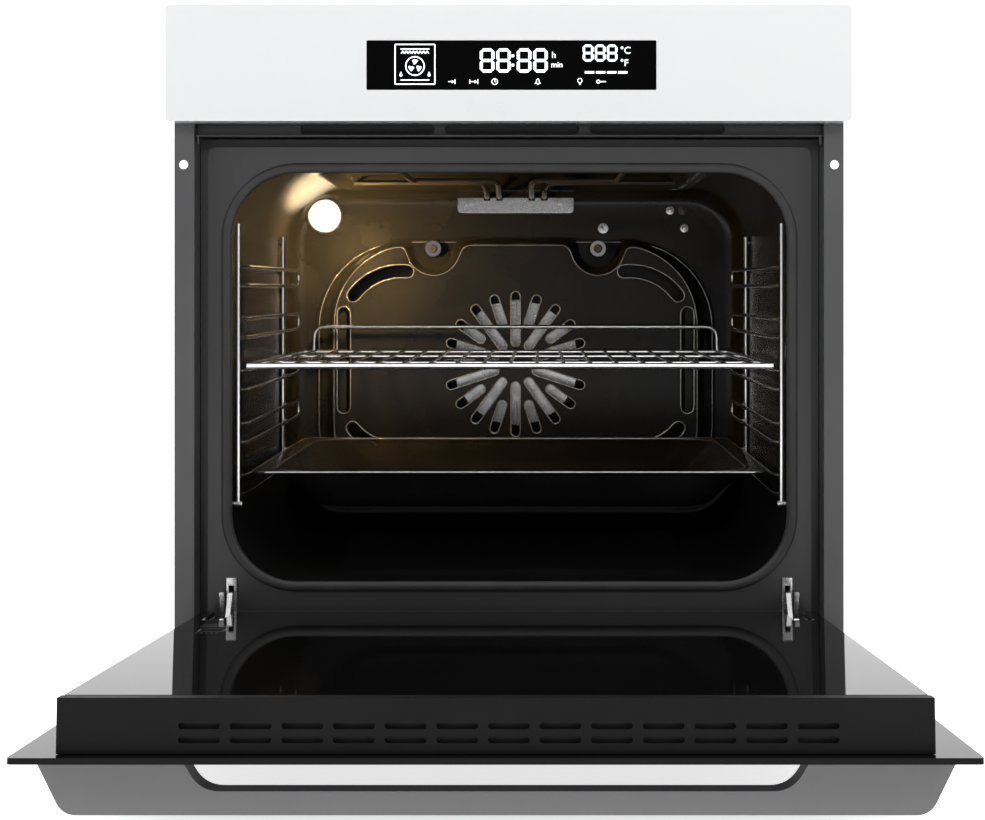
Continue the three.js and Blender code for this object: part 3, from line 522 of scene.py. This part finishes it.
def liner_section(grow, steps=12, size=CAVITY):
    """A cross section of the cavity as a ring, with points along its flat sides as well."""
    corner = size["corner"] + grow
    half = size["half"] + grow
    bottom, top = size["bottom"] - grow, size["top"] + grow
    flat_x, flat_z = half - corner, (top - bottom) / 2 - corner
    middle = (top + bottom) / 2
    ring = []

    def side(start, end, count):
        for i in range(1, count):
            t = i / count
            ring.append((start[0] + (end[0] - start[0]) * t, start[1] + (end[1] - start[1]) * t))

    ring += arc(flat_x, middle - flat_z, corner, -90, 0, steps)
    side((half, middle - flat_z), (half, middle + flat_z), 36)
    ring += arc(flat_x, middle + flat_z, corner, 0, 90, steps)
    side((flat_x, top), (-flat_x, top), 60)
    ring += arc(-flat_x, middle + flat_z, corner, 90, 180, steps)
    side((-half, middle + flat_z), (-half, middle - flat_z), 36)
    ring += arc(-flat_x, middle - flat_z, corner, 180, 270, steps)
    side((-flat_x, bottom), (flat_x, bottom), 60)
    return ring


def cavity_liner():
    rings = []
    depth = CAVITY_BACK - REAR_CORNER - CAVITY_FRONT
    lengths = 64
    for i in range(lengths + 1):
        y = CAVITY_FRONT + depth * i / lengths
        flare = -2.6 * (1 - smoothstep(0.0, 9.0, y - CAVITY_FRONT))
        rings.append([press_liner(x, y, z) for x, z in liner_section(flare)])
    for i in range(1, 9):
        turn = math.radians(90 * i / 8)
        y = CAVITY_BACK - REAR_CORNER + REAR_CORNER * math.sin(turn)
        inset = REAR_CORNER * (1 - math.cos(turn))
        rings.append([(x, y, z) for x, z in liner_section(-inset)])
    rings.append([(x, CAVITY_BACK, z) for x, z in liner_section(-28.0)])
    pocket_mouth = liner_section(0.0, size=FAN_POCKET)
    rings.append(at_depth(pocket_mouth, CAVITY_BACK))
    rings.append(at_depth(pocket_mouth, FAN_POCKET_BACK))
    piece = loft("cavity_liner_shell", rings, close_last=True, angle=50)
    skin = piece.modifiers.new("sheet_thickness", "SOLIDIFY")
    skin.thickness = 1.0 * MM
    skin.offset = 1.0 if outward_is_positive(piece) else -1.0
    place(piece, "chassis", "black_enamel")
    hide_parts("cavity_liner")


def outward_is_positive(piece):
    """True when the face normals point away from the cavity's centre line."""
    face = piece.data.polygons[0]
    centre = Vector((0, face.center.y, 272 * MM))
    return face.normal.dot(face.center - centre) > 0


def cavity_gasket():
    rings = []
    middle, reach = 4.6, 4.4
    for i in range(13):
        turn = math.radians(180 * i / 12)
        grow = -middle - reach * math.cos(turn)
        y = -254.4 - 2.5 * math.sin(turn)
        rings.append(at_depth(frame_rect(GASKET, grow, 14), y))
    piece = loft("cavity_gasket_bead", rings + [rings[0]], angle=60)
    place(piece, "chassis", "gasket_rubber")
    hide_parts("cavity_gasket")


# ---------------------------------------------------------------- fan cover


def cover_outline(half, top, bottom, upper_corner, lower_corner):
    return (
        arc(half - lower_corner, bottom + lower_corner, lower_corner, -90, 0, 14)
        + arc(half - upper_corner, top - upper_corner, upper_corner, 0, 90, 18)
        + arc(-half + upper_corner, top - upper_corner, upper_corner, 90, 180, 18)
        + arc(-half + lower_corner, bottom + lower_corner, lower_corner, 180, 270, 14)
    )


def scalloped_outline(grow):
    """The raised middle of the cover, dipping under the two screws."""
    half, top, bottom, corner = 203.0 + grow, 398.0 + grow, 133.0 - grow, 88.0 + grow
    radius = 31.0 - grow
    points = arc(half - 60, bottom + 60, 60, -90, 0, 12)
    points += arc(half - corner, top - corner, corner, 0, 84, 18)
    for side in (1, -1):
        level = math.degrees(math.asin(min((top - SCREW_Z) / radius, 0.9)))
        points += arc(side * SCREW_X, SCREW_Z, radius, level, -180 - level, 14)
    points += arc(-half + corner, top - corner, corner, 96, 180, 18)
    points += arc(-half + 60, bottom + 60, 60, 180, 270, 12)
    return points


def starburst():
    """Twenty slots around the fan's centre, long and short in turn."""
    slots = []
    for i in range(20):
        turn = math.radians(90 + 18 * i)
        inner = STAR_LONG_START if i % 2 == 0 else STAR_SHORT_START
        start = (inner * math.cos(turn), FAN_Z + inner * math.sin(turn))
        tip = (STAR_TIP * math.cos(turn), FAN_Z + STAR_TIP * math.sin(turn))
        slots.append(slot(start, tip, STAR_SLOT_WIDTH, 6))
    return slots


def side_slots():
    """The straight slots at the sides and the bent ones in the corners."""
    slots = []
    for side in (-1, 1):
        slots.append(slot((side * 192, 217), (side * 192, 322), SIDE_SLOT_WIDTH))
        upper = arc(128, 303, 66, 96, 36, 10)
        lower = arc(138, 228, 56, -88, -38, 8)
        for path in (upper, lower):
            slots.append(bent_slot([(side * x, z) for x, z in path], SIDE_SLOT_WIDTH))
    return slots


def highlight_beads(name, outlines, depth, thick):
    """Thin bright beads that are painted highlights: they stand in for the light on the enamelled plate's
    rolled edges.
    """
    paths = [([(x, depth, z) for x, z in outline], thick) for outline in outlines]
    return wires(name, paths, cyclic=True)


def fan_cover():
    count = 240
    rim = resample(cover_outline(223.6, 403.6, 125.4, 98, 70), count)
    foot = relax(resample(scalloped_outline(9.0), count), 4)
    crown = relax(resample(scalloped_outline(0.0), count), 4)
    rings = [at_depth(rim, 142.4), at_depth(rim, 141.4)]
    soft_rim = [tuple(Vector(p) * 0.985 + Vector((0, FAN_Z)) * 0.015) for p in rim]
    rings.append(at_depth(soft_rim, 140.6))
    rings.append(at_depth(foot, COVER_FOOT))
    for i in range(1, 9):
        t = i / 8
        ease = smoothstep(0.0, 1.0, t)
        mix = [tuple(Vector(a).lerp(Vector(b), t)) for a, b in zip(foot, crown)]
        rings.append(at_depth(mix, COVER_FOOT + (COVER_FRONT - COVER_FOOT) * ease))
    border = loft("fan_cover_border", rings, angle=60)
    place(border, "chassis", "black_enamel")
    openings = [*starburst(), *side_slots()]
    panel = plate("fan_cover_panel", [crown, *openings], COVER_FRONT, COVER_FRONT + 2.0, 0.7)
    place(panel, "chassis", "black_enamel")
    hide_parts("fan_cover")
    # Painted highlights: thin bright beads on the slot edges, along the crown's crease and on the rim's
    # lip.
    edges = highlight_beads("fan_cover_slot_highlights", openings, COVER_FRONT, 0.8)
    place(edges, "chassis", "painted_edge_highlight")
    crease = highlight_beads("fan_cover_highlight_on_crease", [crown], COVER_FRONT + 0.2, 0.5)
    place(crease, "chassis", "painted_edge_highlight")
    lip = highlight_beads("fan_cover_highlight_on_lip", [soft_rim], 140.3, 0.5)
    place(lip, "chassis", "painted_edge_highlight")


# ---------------------------------------------------------------- turned and block pieces


def turned(name, profile, x, y, z, steps=40):
    """Turns a profile about a line along Y: each point is (radius, distance from y)."""
    turns = [2 * math.pi * i / steps for i in range(steps)]
    rings = []
    for radius, along in profile:
        rings.append([
            (x + radius * math.cos(turn), y + along, z + radius * math.sin(turn)) for turn in turns
        ])
    return loft(name, rings, close_first=True, close_last=True, angle=40)


def block(name, low, high, edge):
    (x0, y0, z0), (x1, y1, z1) = low, high
    corners = [(x, y, z) for x in (x0, x1) for y in (y0, y1) for z in (z0, z1)]
    faces = [(0, 1, 3, 2), (4, 6, 7, 5), (0, 4, 5, 1), (2, 3, 7, 6), (0, 2, 6, 4), (1, 5, 7, 3)]
    return bevel(mesh_from(name, corners, faces), edge, 4)


def move_points(piece, change):
    """Applies change(x, y, z) in millimetres to every point of a new piece."""
    for vertex in piece.data.vertices:
        moved = change(*[c / MM for c in vertex.co])
        vertex.co = [c * MM for c in moved]
    build = bmesh.new()
    build.from_mesh(piece.data)
    bmesh.ops.recalc_face_normals(build, faces=build.faces)
    build.to_mesh(piece.data)
    build.free()
    return piece


def open_with_door(piece):
    return move_points(piece, lambda x, y, z: swing_open([(x, y, z)])[0])


# ---------------------------------------------------------------- fittings in the cavity


def cover_screws():
    for side, name in ((-1, "left"), (1, "right")):
        washer = turned(
            f"cover_washer_{name}", [(4.4, -1.9), (8.6, -1.9), (9.0, -1.4), (9.0, -0.3), (4.0, -0.3)],
            side * SCREW_X, COVER_FRONT, SCREW_Z)
        place(washer, "chassis", "galvanised_steel")
        head = turned(
            f"cover_screw_head_{name}",
            [(1.1, -3.2), (1.6, -4.6), (3.6, -4.7), (4.8, -3.6), (4.9, -1.9), (2.4, -1.8), (2.4, 7.0)],
            side * SCREW_X, COVER_FRONT, SCREW_Z)
        place(head, "chassis", "heater_sheath")
        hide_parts(f"cover_screw_{name}")


def lamp():
    lens = turned(
        "lamp_lens_dome",
        [(1.0, 0.2), (5.0, 0.7), (9.5, 2.2), (13.0, 4.8), (15.6, 8.4), (16.9, 12.0), (17.4, 15.0),
         (17.4, 18.8), (15.6, 18.8), (15.4, 15.0), (13.6, 9.4), (8.0, 4.0), (1.0, 2.4)],
        *LAMP_CENTRE, 56)
    place(lens, "chassis", "lamp_lens")
    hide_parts("lamp_glass")
    collar = turned(
        "lamp_collar",
        [(17.6, 15.6), (18.0, 14.6), (19.4, 14.8), (20.2, 16.4), (20.2, 19.0), (17.6, 19.0)],
        *LAMP_CENTRE, 56)
    place(collar, "chassis", "bright_steel")


def side_rack(side, name):
    """A front post, two close rear posts and a looped rung at each level, with mounting feet."""
    out_x, in_x = side * RACK_WALL_X, side * RACK_RUNG_X
    paths = [([(out_x, RACK_FRONT, 152), (out_x, RACK_FRONT, 408)], 2.1)]
    for y in (40, 47):
        paths.append(([(out_x, y, 158), (out_x, y, 404)], 2.1))
    for level in RUNG_LEVELS:
        low = level - RUNG_DROP
        rung = rounded_path([
            (out_x, RACK_FRONT, level), (in_x, RACK_FRONT + 14, level), (in_x, RACK_BACK, level),
            (in_x, RACK_BACK, low), (in_x, RACK_FRONT + 14, low), (out_x, RACK_FRONT, low)], 7)
        paths.append((rung, 1.9))
        for z in (level, low):
            paths.append(([(in_x, RACK_POST_Y, z), (out_x, RACK_POST_Y, z)], 1.7))
    rack = wires(f"side_rack_wires_{name}", paths)
    place(rack, "chassis", "chromed_wire")
    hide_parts(f"side_rack_{name}")
    foot = wires(f"side_rack_foot_{name}", [
        ([(side * 242, RACK_FRONT, 154), (side * 249.4, RACK_FRONT, 154)], 3.3),
        ([(side * 244, RACK_POST_Y, 398), (side * 249.4, RACK_POST_Y, 398)], 3.1)])
    place(foot, "chassis", "bright_steel")


def wire_shelf():
    half, front, back, z = 238.5, RACK_FRONT + 4, 128.0, SHELF_Z
    frame_line = rounded_path([
        (0, front, z), (half, front, z), (half, back, z),
        (-half, back, z), (-half, front, z), (0, front, z)], 6)
    paths = [(frame_line, 2.6)]
    paths.append(([(-half, front, z), (half, front, z)], 3.0))
    for y in (front + 90, front + 250):
        paths.append(([(-half, y, z - 1), (half, y, z - 1)], 2.2))
    guard = rounded_path([
        (-224, back - 3, z), (-224, back - 3, z + 28), (224, back - 3, z + 28), (224, back - 3, z)], 14)
    paths.append((guard, 2.3))
    for i in range(19):
        x = (i - 9) * 24.6
        paths.append(([(x, front, z + 1.2), (x, back, z + 1.2)], 1.7))
    shelf = wires("wire_shelf_wires", paths)
    place(shelf, "wire_shelf", "chromed_wire")
    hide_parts("wire_shelf")


def tray_ring(half, front, back, corner, z):
    depth = (back - front) / 2
    middle = (back + front) / 2
    ring = rounded_rect(half, -depth, depth, corner, 12)
    return [(x, middle + y, z) for x, y in ring]


def baking_tray():
    """The bowl as rings from the underside, over the rim and down the inside, with bright beads on the rim
    as painted highlights.
    """
    rim = TRAY_RIM
    rings = [
        tray_ring(178, -184, 89, 30, 146.7),
        tray_ring(184, -190, 95, 34, 147.2),
        tray_ring(188, -194, 99, 36, 149.2),
        tray_ring(203, -209, 114, 46, 164.0),
        tray_ring(217, -222, 127, 48, 178.6),
        tray_ring(220, -224, 129, 40, rim),
        tray_ring(233, -225, 130, 20, rim),
        tray_ring(235.4, -226.4, 131.4, 17, rim + 0.5),
        tray_ring(235.9, -226.9, 131.9, 16, rim + 1.2),
        tray_ring(235.0, -226.2, 131.2, 17, rim + 1.9),
        tray_ring(232.4, -224.8, 129.8, 20, rim + 1.4),
        tray_ring(221.5, -223.4, 128.4, 40, rim + 1.3),
        tray_ring(219.0, -221.6, 126.6, 47, rim + 0.2),
        tray_ring(216.0, -219.6, 124.6, 47, 178.4),
        tray_ring(202.0, -207.8, 112.8, 45, 164.2),
        tray_ring(187.0, -192.8, 97.8, 35, 149.8),
        tray_ring(183.0, -188.8, 93.8, 32, 148.2),
        tray_ring(176.0, -182.0, 87.0, 28, 147.9),
        tray_ring(150.0, -156.0, 61.0, 24, 147.9),
        tray_ring(146.0, -152.0, 57.0, 22, 149.0),
    ]
    tray = loft("baking_tray_bowl", rings, close_first=True, close_last=True, angle=60)
    place(tray, "baking_tray", "black_enamel")
    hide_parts("baking_tray")
    # Painted highlights: two thin bright rings on the rim's outer and inner edges stand in for the light on
    # them.
    beads = wires("baking_tray_rim_highlights", [
        (tray_ring(235.0, -226.2, 131.2, 17, rim + 1.2), 0.9),
        (tray_ring(219.4, -222.0, 127.0, 46, rim + 1.0), 0.7),
    ], cyclic=True)
    place(beads, "baking_tray", "painted_edge_highlight")


# ---------------------------------------------------------------- display and printed marks


class Marks:
    """Flat printed marks collected as one mesh, in X and Z on a given depth."""

    def __init__(self, depth):
        self.depth = depth
        self.vertices = []
        self.faces = []

    def shape(self, points):
        start = len(self.vertices)
        self.vertices += [(x, self.depth, z) for x, z in points]
        self.faces.append(tuple(range(start, start + len(points))))

    def line(self, a, b, width):
        along = (Vector(b) - Vector(a)).normalized()
        side = Vector((-along.y, along.x)) * width / 2
        a, b = Vector(a), Vector(b)
        self.shape([tuple(a + side), tuple(a - side), tuple(b - side), tuple(b + side)])

    def lines(self, points, width):
        for a, b in zip(points, points[1:]):
            self.line(a, b, width)

    def ring(self, x, z, radius, width, steps=32):
        self.lines(arc(x, z, radius, 0, 360, steps), width)

    def segment(self, a, b, width):
        """One bar of a seven-bar digit, with pointed ends."""
        a, b = Vector(a), Vector(b)
        along = (b - a).normalized()
        side = Vector((-along.y, along.x)) * width / 2
        tip = along * width / 2
        self.shape([
            tuple(a), tuple(a + tip - side), tuple(b - tip - side), tuple(b), tuple(b - tip + side),
            tuple(a + tip + side)])

    def digit(self, x, z, wide, tall, width):
        gap = width * 0.12
        for level in (0, 0.5, 1):
            h = z + tall * level
            self.segment((x + gap, h), (x + wide - gap, h), width)
        for level in (0, 0.5):
            low, high = z + tall * level + gap, z + tall * (level + 0.5) - gap
            self.segment((x, low), (x, high), width)
            self.segment((x + wide, low), (x + wide, high), width)

    def build(self, name, body, finish_name):
        piece = mesh_from(name, self.vertices, self.faces)
        return place(piece, body, finish_name)


def function_symbol(marks, x, z):
    """A square outline with a grill zigzag, a bladed fan in a circle and two drops."""
    half = 17.2
    marks.lines([(x - half, z - half), (x + half, z - half), (x + half, z + half), (x - half, z + half),
                 (x - half, z - half)], 0.9)
    marks.line((x - 12.5, z + 13.2), (x + 12.5, z + 13.2), 0.9)
    zigzag = [(x - 12 + 24 * i / 16, z + (11.6 if i % 2 else 9.2)) for i in range(17)]
    marks.lines(zigzag, 0.8)
    marks.ring(x, z - 1.5, 8.0, 1.0)
    for blade in range(3):
        turn = 90 + 120 * blade
        tip = arc(x, z - 1.5, 5.6, turn - 30, turn + 26, 6)
        root = arc(x, z - 1.5, 1.6, turn + 40, turn - 10, 3)
        marks.shape(tip + root)
    marks.line((x - 12.5, z - 13.6), (x + 12.5, z - 13.6), 0.9)
    for side in (-1, 1):
        drop = arc(x + side * 12.2, z - 9.4, 1.3, -200, 20, 8) + [(x + side * 12.2, z - 6.2)]
        marks.shape(drop)


def small_icons(marks, z):
    def arrow(x, width):
        marks.line((x - width / 2, z), (x + width / 2, z), 0.7)
        marks.shape([(x + width / 2, z), (x + width / 2 - 2, z + 1.5), (x + width / 2 - 2, z - 1.5)])

    arrow(-49.6, 5)
    marks.line((-46.4, z - 2), (-46.4, z + 2), 0.7)
    marks.line((-33.6, z - 2), (-33.6, z + 2), 0.7)
    arrow(-30, 5.4)
    marks.line((-26.6, z - 2), (-26.6, z + 2), 0.7)
    marks.ring(-12, z, 2.5, 0.6, 20)
    marks.lines([(-12, z + 1.6), (-12, z), (-10.8, z)], 0.6)
    marks.lines([(22.9, z - 1.6), (24, z - 0.6), (24.3, z + 1.6), (25.3, z + 2.6), (26.3, z + 1.6),
                 (26.6, z - 0.6), (27.7, z - 1.6), (22.9, z - 1.6)], 0.6)
    marks.line((24.8, z - 2.5), (25.8, z - 2.5), 0.6)
    marks.ring(61.7, z + 0.9, 1.9, 0.6, 18)
    marks.lines([(60.9, z - 1.4), (62.5, z - 1.4)], 0.6)
    marks.lines([(61.1, z - 2.4), (62.3, z - 2.4)], 0.6)
    marks.ring(77.6, z, 1.4, 0.7, 14)
    marks.line((79, z), (84.4, z), 0.8)


def small_text(name, words, x, z, size):
    letters = bpy.data.curves.new(name, "FONT")
    letters.body = words
    letters.size = size * MM
    letters.fill_mode = "FRONT"
    piece = bpy.data.objects.new(name, letters)
    piece.location = (x * MM, (FASCIA_FRONT - 0.06) * MM, z * MM)
    piece.rotation_euler = (math.pi / 2, 0, 0)
    place(piece, "chassis", "display_light")


def fascia_cover():
    """The white cover: a front plate with the display window, and the return edges behind it."""
    rim = rounded_rect(297.4, 494.1, 594.9, 4, 6)
    inner = rounded_rect(293.5, 498, 591, 2, 6)
    window = rounded_rect(125.5, 521, 564, 0.8, 3, centre=2.5)
    front = plate("fascia_front", [rim, window], FASCIA_FRONT, FASCIA_FRONT + 5, 0.5)
    place(front, "chassis", "white_glass")
    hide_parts("control_fascia")
    returns = plate("fascia_returns", [rim, inner], FASCIA_FRONT + 4, FASCIA_FRONT + 21, 0.4)
    place(returns, "chassis", "white_glass")


def display():
    marks = Marks(FASCIA_FRONT - 0.06)
    function_symbol(marks, -81, 543.2)
    for x in (-23.6, -9.4, 8.4, 22.6):
        marks.digit(x, 537.3, 10.0, 18.4, 2.5)
    for z in (542.5, 550.5):
        marks.line((2.6, z), (4.8, z), 2.2)
    for x in (65.2, 75.6, 86.0):
        marks.digit(x, 546.6, 7.2, 12.6, 1.9)
    for i in range(4):
        marks.line((66 + i * 9.6, 536.2), (74 + i * 9.6, 536.2), 1.9)
    small_icons(marks, 528.2)
    marks.build("display_marks", "chassis", "display_light")
    small_text("display_hours", "h", 37.2, 548.6, 8)
    small_text("display_minutes", "min", 36.6, 540.6, 7)
    small_text("display_celsius", "°C", 96.5, 552.4, 8.5)
    small_text("display_fahrenheit", "°F", 96.5, 541.6, 8.5)


def touch_keys():
    marks = Marks(FASCIA_FRONT - 0.05)
    for x in (-85.5, -32.7, -7.6, 69.5, 95.5):
        marks.ring(x, KEY_ROW_Z, 4.1, 0.35, 30)
    marks.line((-85.5, KEY_ROW_Z), (-85.5, KEY_ROW_Z + 3), 0.35)
    marks.lines([(-34.2, 504.6), (-32.7, 507.4), (-31.2, 504.6)], 0.35)
    marks.line((-9.4, KEY_ROW_Z), (-5.8, KEY_ROW_Z), 0.35)
    marks.lines([(68.1, 506.8), (69.5, 504.8), (70.9, 506.8)], 0.35)
    marks.ring(95.5, KEY_ROW_Z, 1.4, 0.3, 14)
    marks.build("touch_key_prints", "chassis", "key_print")


# ---------------------------------------------------------------- door pieces


def door_handle():
    base, outer = FASCIA_FRONT - 0.3, FASCIA_FRONT - 36.3

    def rounded(points):
        outline = []
        count = len(points)
        for i, (x, y, bend) in enumerate(points):
            here = Vector((x, y, 0))
            before = Vector((*points[i - 1][:2], 0))
            after = Vector((*points[(i + 1) % count][:2], 0))
            start = here + (before - here).normalized() * bend
            end = here + (after - here).normalized() * bend
            for k in range(9):
                t = k / 8
                point = start * (1 - t) ** 2 + here * 2 * t * (1 - t) + end * t**2
                outline.append((point.x, point.y))
        return outline

    outline = rounded([
        (-288.4, base, 1), (-269.8, outer, 9), (269.8, outer, 9), (288.4, base, 1),
        (197, base, 1), (184, outer + 15, 12), (-184, outer + 15, 12), (-197, base, 1)])
    bar = plate("door_handle_bar", [outline], 446.2, 463.8, 1.4)
    move_points(bar, lambda x, y, z: (x, z, y))
    open_with_door(bar)
    place(bar, "door", "satin_grey")
    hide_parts("door_handle")


def door_top_rail():
    slots = []
    for i in range(-6, 7):
        for y in (-292 + 8.9, -292 + 17.4):
            x = VENT_CENTRE + i * 31.7
            slots.append(slot((x - 10.9, y), (x + 10.9, y), 3.9, 6))
    rim = [
        (-DOOR_HALF, DOOR_FRONT), (DOOR_HALF, DOOR_FRONT),
        (DOOR_HALF, DOOR_BACK), (-DOOR_HALF, DOOR_BACK)]
    cap = plate("door_top_cap", [rim, *slots], RAIL_TOP - 1.7, RAIL_TOP, 0.35)
    move_points(cap, lambda x, y, z: (x, z, y))
    open_with_door(cap)
    place(cap, "door", "black_plastic")
    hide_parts("door_top_rail")
    for name, near, far, low in (
        ("door_top_front_flange", DOOR_FRONT, DOOR_FRONT + 1.4, 462.0),
        ("door_top_back_flange", DOOR_BACK - 1.4, DOOR_BACK, RAIL_TOP - 10),
    ):
        flange = block(name, (-DOOR_HALF, near, low), (DOOR_HALF, far, RAIL_TOP - 1.7), 0.3)
        open_with_door(flange)
        place(flange, "door", "black_plastic")


def glass_prints():
    """Small generic setting marks printed on the door's inner glass."""
    marks = Marks(-257.4 + 0.05)
    marks.lines([(-246, 150), (-226, 150), (-226, 166), (-246, 166), (-246, 150)], 0.7)
    for i in range(5):
        marks.line((-246 + 4 * i, 176), (-244 + 4 * i, 176), 1.2)
    for i in range(3):
        marks.line((-250, 120 + 8 * i), (-232 + 3 * i, 120 + 8 * i), 0.9)
    piece = mesh_from("inner_glass_prints", marks.vertices, marks.faces)
    open_with_door(piece)
    place(piece, "door", "glass_print")


def vent_shades():
    """Dark sheets of painted shade behind the outlet slots and behind the slots in the door's top edge."""
    outlet_shade = block("outlet_painted_shade", (-196, -259.9, 484.6), (200, -259.1, 498), 0.2)
    place(outlet_shade, "chassis", "vent_shadow")
    door_slot_shade = block("door_vent_painted_shade", (-250, -290.0, 473.4), (254, -262.5, 474.2), 0.2)
    open_with_door(door_slot_shade)
    place(door_slot_shade, "door", "vent_shadow")


def wall_studs():
    """Small fixings in the upper right of the cavity's back wall."""
    for name, x, z, finish_name in (
        ("upper", 173, 437, "bright_steel"), ("outer", 187, 437, "heater_sheath"),
        ("lower", 189, 417, "bright_steel"),
    ):
        stud = turned(
            f"wall_stud_{name}",
            [(0.6, -2.0), (2.0, -1.8), (2.6, -0.9), (4.4, -0.7), (4.8, 0.0), (4.8, 0.6)],
            x, CAVITY_BACK - 0.5, z, 24)
        place(stud, "chassis", finish_name)


# ---------------------------------------------------------------- stage, light and camera


def backdrop():
    """A pale floor that curves up into a wall. It glows softly, so the door's shadow on it stays light."""
    profile = [(-4.0, -0.0006), (2.2, -0.0006)]
    for i in range(1, 13):
        turn = math.radians(90 * i / 12)
        profile.append((2.2 + 1.2 * math.sin(turn), 1.2 - 1.2 * math.cos(turn) - 0.0006))
    profile.append((3.4, 5.0))
    vertices = [(x, y, z) for y, z in profile for x in (-6.0, 6.0)]
    faces = [(2 * i, 2 * i + 1, 2 * i + 3, 2 * i + 2) for i in range(len(profile) - 1)]
    mesh = bpy.data.meshes.new("pale_backdrop")
    mesh.from_pydata(vertices, [], faces)
    for face in mesh.polygons:
        face.use_smooth = True
    paint = finish("backdrop_paper", (0.93, 0.93, 0.93), (0.92, 0.92, 0.92), 0.9, 0.02, 0.0, 1, 60, 0.01,
                   glow=(1, 1, 1), strength=0.75)
    mesh.materials.append(paint)
    sweep = bpy.data.objects.new("pale_backdrop", mesh)
    bpy.context.scene.collection.objects.link(sweep)


def softbox(name, where, aim, wide, high, power):
    lamp_data = bpy.data.lights.new(name, "AREA")
    lamp_data.shape = "RECTANGLE"
    lamp_data.size = wide
    lamp_data.size_y = high
    lamp_data.energy = power
    holder = bpy.data.objects.new(name, lamp_data)
    holder.location = where
    holder.rotation_euler = (Vector(aim) - Vector(where)).to_track_quat("-Z", "Y").to_euler()
    bpy.context.scene.collection.objects.link(holder)


def lighting():
    world = bpy.data.worlds.new("studio_room")
    bpy.context.scene.world = world
    world.use_nodes = True
    sky = world.node_tree.nodes["Background"]
    sky.inputs["Color"].default_value = (1, 1, 1, 1)
    sky.inputs["Strength"].default_value = 0.46
    softbox("left_softbox", (-1.9, -1.5, 1.5), (0, 0, 0.3), 1.2, 1.6, 20)
    softbox("right_softbox", (1.9, -1.5, 1.3), (0, 0, 0.3), 1.2, 1.6, 19)
    softbox("top_softbox", (0, -0.9, 2.3), (0, -0.1, 0.3), 2.2, 1.2, 14)
    softbox("cavity_softbox", (0, -1.5, 1.0), (0, -0.1, 0.25), 1.3, 0.3, 5)
    glow = bpy.data.lights.new("oven_lamp_glow", "POINT")
    glow.energy = 6.5
    glow.color = (1.0, 0.62, 0.22)
    glow.shadow_soft_size = 0.018
    holder = bpy.data.objects.new("oven_lamp_glow", glow)
    holder.location = (-0.180, 0.050, 0.390)
    holder.visible_glossy = False
    bpy.context.scene.collection.objects.link(holder)


def camera():
    data = bpy.data.cameras.new("front_view")
    data.lens = 62.5
    data.sensor_width = 36.0
    data.shift_x = -0.048
    data.shift_y = -0.122
    data.clip_start = 0.05
    data.clip_end = 50.0
    holder = bpy.data.objects.new("front_view", data)
    holder.location = (0.027, -1.776, 0.348)
    holder.rotation_euler = (math.pi / 2, 0, 0)
    bpy.context.scene.collection.objects.link(holder)
    bpy.context.scene.camera = holder


def tone():
    view = bpy.context.scene.view_settings
    view.view_transform = "Standard"
    view.look = "None"
    view.exposure = 0.0


# ---------------------------------------------------------------- assembly

cavity_liner()
cavity_gasket()
fan_cover()
cover_screws()
lamp()
for rack_side, rack_name in ((-1, "left"), (1, "right")):
    side_rack(rack_side, rack_name)
wire_shelf()
baking_tray()
fascia_cover()
display()
touch_keys()
vent_shades()
wall_studs()
door_handle()
door_top_rail()
glass_prints()
backdrop()
lighting()
camera()
tone()
